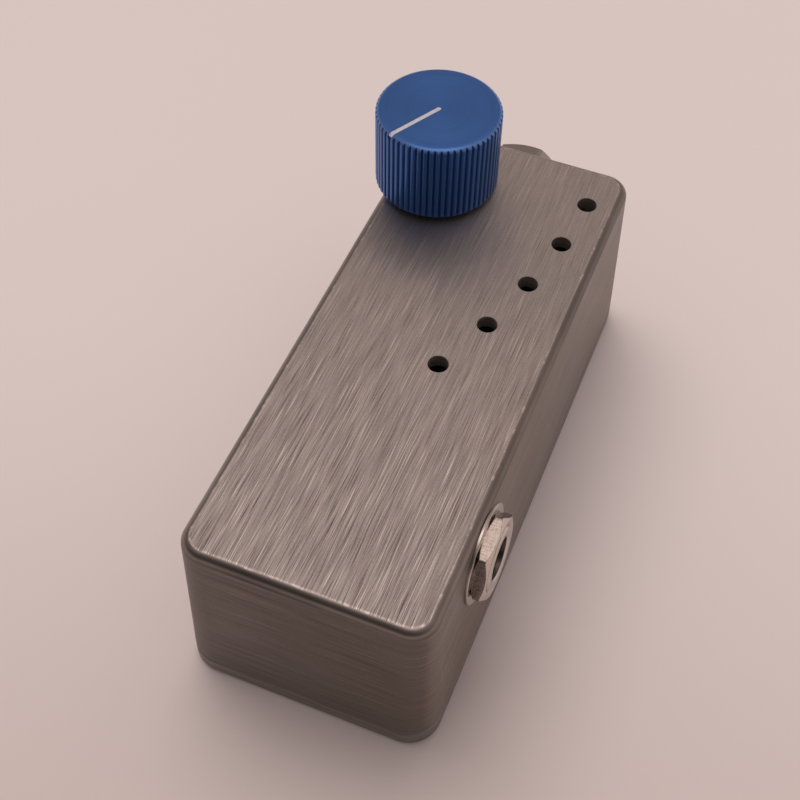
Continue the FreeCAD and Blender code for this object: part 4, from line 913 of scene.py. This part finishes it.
inner = -2.2 * C
JZN = 2.4
for name, node, fm in (("input_bushing", "input_jack_bushing", IN_FRAME), ("output_bushing", "output_jack_bushing", OUT_FRAME)):
    tail = rounded([(3.2, inner - 1.9, "b", 0.12), (5.6, inner - 1.9, "b", 0.15), (5.6, inner - 1.0, "b", 0.08), (4.72, inner - 1.0, "b", 0)], 0.1, 4)
    # the closed profile begins and ends inside the bore
    tail = [(3.2, inner - 1.0, "b"), (3.2, inner - 1.6, "b"), (3.32, inner - 1.9, "b"), (5.45, inner - 1.9, "b"), (5.55, inner - 1.86, "b"), (5.6, inner - 1.75, "b"),
            (5.6, inner - 1.1, "b"), (5.52, inner - 1.0, "b"), (4.74, inner - 1.0, "b")]
    head = [(4.72, JZN - 0.15, "b"), (4.66, JZN - 0.06, "b"), (4.48, JZN + 0.11, "b"), (4.42, JZN + 0.15, "b"), (4.30, JZN + 0.15, "b"), (3.95, JZN + 0.145, "b"), (3.62, JZN + 0.15, "b"),
            (3.50, JZN + 0.14, "b"), (3.42, JZN + 0.10, "b"), (3.24, JZN - 0.07, "b"), (3.2, JZN - 0.14, "b"), (3.2, JZN - 1.2, "b"), (3.2, -1.0, "b")]
    threaded(name, node, fm, 4.72, 4.36, 0.75, inner - 0.98, JZN - 0.17, tail, head)

nt = 3.2
tail = [(4.3, inner - 1.2, "b"), (4.3, -11.9, "b"), (4.36, -12.0, "b"), (4.94, -12.0, "b"), (5.0, -11.92, "b"), (5.0, inner - 1.42, "b"), (5.18, inner - 1.22, "b"), (5.2, inner - 1.15, "b"),
        (5.2, inner - 0.06, "b"), (5.14, inner, "b"), (3.97, inner, "b")]
head = [(3.95, nt + 0.22, "b"), (3.90, nt + 0.32, "b"), (3.74, nt + 0.47, "b"), (3.66, nt + 0.5, "b"), (3.12, nt + 0.5, "b"), (3.04, nt + 0.49, "b"), (2.90, nt + 0.38, "b"), (2.85, nt + 0.30, "b"),
        (2.85, nt - 1.5, "b"), (2.85, inner - 1.2, "b")]
threaded("power_shell", "dc_jack_shell", DC_FRAME, 3.95, 3.60, 0.75, inner + 0.02, nt + 0.20, tail, head)


# ---------------------------------------------------------------- floor, light and camera
def make_floor():
    M = Mat("pale_floor", Specular_IOR_Level=0.2)
    co = M.co()
    a = M.noise(M.scale(co, (9, 9, 9)), 1.0, 3, 0.5)
    b = M.noise(M.scale(co, (1400, 1400, 1400)), 1.0, 2, 0.5)
    tone = M.math("ADD", 0.97, M.math("ADD", M.math("MULTIPLY", a, 0.04), M.math("MULTIPLY", b, 0.02)))
    fx, fy, fz = M.split(co)
    # painted shade: the floor near the object is darker and pinker towards the front and right, fading out by 0.34 m
    shade = M.range(M.math("ADD", fy, M.math("MULTIPLY", fx, -0.30)), -0.125, 0.035, 0.77, 1.0)
    shade = M.mix(M.range(M.vmath("LENGTH", co), 0.15, 0.34), shade, 1.0)
    base = M.times((0.80, 0.735, 0.74), M.math("MULTIPLY", tone, shade))
    base = M.colour(M.range(shade, 0.77, 1.0, 1.0, 0.0), base, M.colour(1.0, base, (1.0, 0.955, 0.925), "MULTIPLY"))
    material = M.finish(base, M.range(b, 0.3, 0.7, 0.75, 0.9), M.bump(b, 0.1, 0.00005))
    rings = [0.0, 0.3, 1.0, 4.0]
    n = 64
    verts, faces = [(0.0, 0.0, 0.0)], []
    for r in rings[1:]:
        verts += [(r * math.cos(TAU * k / n), r * math.sin(TAU * k / n), 0.0) for k in range(n)]
    for k in range(n):
        faces.append((0, 1 + k, 1 + (k + 1) % n))
    for i in range(len(rings) - 2):
        a, b2 = 1 + i * n, 1 + (i + 1) * n
        for k in range(n):
            faces.append((a + k, b2 + k, b2 + (k + 1) % n, a + (k + 1) % n))
    me = bpy.data.meshes.new("floor")
    me.from_pydata(verts, [], faces)
    me.materials.append(material)
    ob = bpy.data.objects.new("floor", me)
    SCENE.collection.objects.link(ob)
    return ob


make_floor()

# a soft room: bright above and behind, dim towards the horizon in front
world = bpy.data.worlds.new("studio")
SCENE.world = world
world.use_nodes = True
wt = world.node_tree
wt.nodes.clear()
w_out = wt.nodes.new("ShaderNodeOutputWorld")
w_tc = wt.nodes.new("ShaderNodeTexCoord")
w_sep = wt.nodes.new("ShaderNodeSeparateXYZ")
wt.links.new(w_tc.outputs["Generated"], w_sep.inputs[0])


def wmath(op, a, b=0.0, clamp=False):
    n = wt.nodes.new("ShaderNodeMath")
    n.operation, n.use_clamp = op, clamp
    for value, socket in zip((a, b), n.inputs):
        if isinstance(value, bpy.types.NodeSocket):
            wt.links.new(value, socket)
        else:
            socket.default_value = value
    return n.outputs[0]


def wrange(v, a, b, c, d):
    n = wt.nodes.new("ShaderNodeMapRange")
    n.interpolation_type = "SMOOTHSTEP"
    wt.links.new(v, n.inputs[0])
    for value, socket in zip((a, b, c, d), list(n.inputs)[1:5]):
        socket.default_value = value
    return n.outputs[0]


wx, wy, wz = w_sep.outputs
height = wrange(wz, 0.02, 0.80, 0.16, 1.0)
lean = wmath("ADD", wmath("MULTIPLY", wy, 0.80), wmath("MULTIPLY", wx, -0.30))
side = wrange(lean, -0.75, 0.55, 0.42, 1.0)


def background(strength, low, high, fac):
    col = wt.nodes.new("ShaderNodeMix")
    col.data_type = "RGBA"
    wt.links.new(fac, col.inputs[0])
    col.inputs[6].default_value = (*low, 1.0)
    col.inputs[7].default_value = (*high, 1.0)
    bg = wt.nodes.new("ShaderNodeBackground")
    wt.links.new(col.outputs[2], bg.inputs["Color"])
    wt.links.new(strength, bg.inputs["Strength"])
    return bg.outputs[0]


room = background(wmath("MULTIPLY", wmath("MULTIPLY", height, side), 0.80), (1.0, 0.78, 0.70), (1.0, 0.90, 0.86), height)
# polished metal sees one large soft panel overhead and behind, and a dim room in front
low = wrange(wx, -0.3, 0.6, 0.46, 0.58)
ramp = wrange(wz, 0.55, 1.0, 0.0, 1.0)
panel = wmath("ADD", wmath("ADD", low, wmath("MULTIPLY", ramp, wmath("SUBTRACT", 1.0, low))), wrange(wz, 0.915, 0.985, 0.0, 1.7))
front = wrange(wy, -0.80, 0.30, 0.24, 1.0)
near = wrange(wz, 0.06, 0.42, 1.0, 0.0)
above = wmath("MULTIPLY", panel, front)
walls = wrange(wy, -0.75, 0.30, 0.62, 0.88)
seen = wmath("ADD", above, wmath("MULTIPLY", near, wmath("SUBTRACT", walls, above)))
mirror = background(wmath("MULTIPLY", seen, 0.725), (1.0, 0.83, 0.76), (1.0, 0.86, 0.81), ramp)
# what a camera sees beyond the floor is the same pale tone as the floor
w_back = wt.nodes.new("ShaderNodeBackground")
w_back.inputs["Color"].default_value = (0.668, 0.540, 0.512, 1.0)
w_back.inputs["Strength"].default_value = 1.0
w_path = wt.nodes.new("ShaderNodeLightPath")
last = room
for ray, bg in (("Is Glossy Ray", mirror), ("Is Camera Ray", w_back.outputs[0])):
    w_mix = wt.nodes.new("ShaderNodeMixShader")
    wt.links.new(w_path.outputs[ray], w_mix.inputs[0])
    wt.links.new(last, w_mix.inputs[1])
    wt.links.new(bg, w_mix.inputs[2])
    last = w_mix.outputs[0]
wt.links.new(last, w_out.inputs["Surface"])

sun = bpy.data.lights.new("key", "SUN")
sun.energy = 1.25
sun.angle = math.radians(46)
sun.color = (1.0, 0.87, 0.80)
sun_ob = bpy.data.objects.new("key", sun)
SCENE.collection.objects.link(sun_ob)
sun_ob.visible_glossy = False
sun_dir = Vector((-0.30, 0.33, 0.89)).normalized()
sun_ob.rotation_mode = "QUATERNION"
sun_ob.rotation_quaternion = sun_dir.to_track_quat("Z", "Y")
sun_ob.location = sun_dir * 0.5

right = Vector((0.9259310764, 0.3775480524, 0.0104455673))
down = Vector((0.3059249153, -0.7334834429, -0.6069695093))
fwd = Vector((-0.2214985054, 0.5652074904, -0.7946564697))
cam_data = bpy.data.cameras.new("camera")
cam_data.sensor_width = 36.0
cam_data.lens = 1327.587 / 800 * 36.0
cam_data.clip_start, cam_data.clip_end = 0.005, 20.0
cam = bpy.data.objects.new("camera", cam_data)
SCENE.collection.objects.link(cam)
m = Matrix((right, -down, -fwd)).transposed().to_4x4()
m.translation = Vector((41.957, -117.407, 180.269)) * MM
cam.matrix_world = m
SCENE.camera = cam

SCENE.view_settings.view_transform = "Standard"
SCENE.view_settings.look = "None"
SCENE.view_settings.exposure = 0.0
SCENE.view_settings.gamma = 1.0
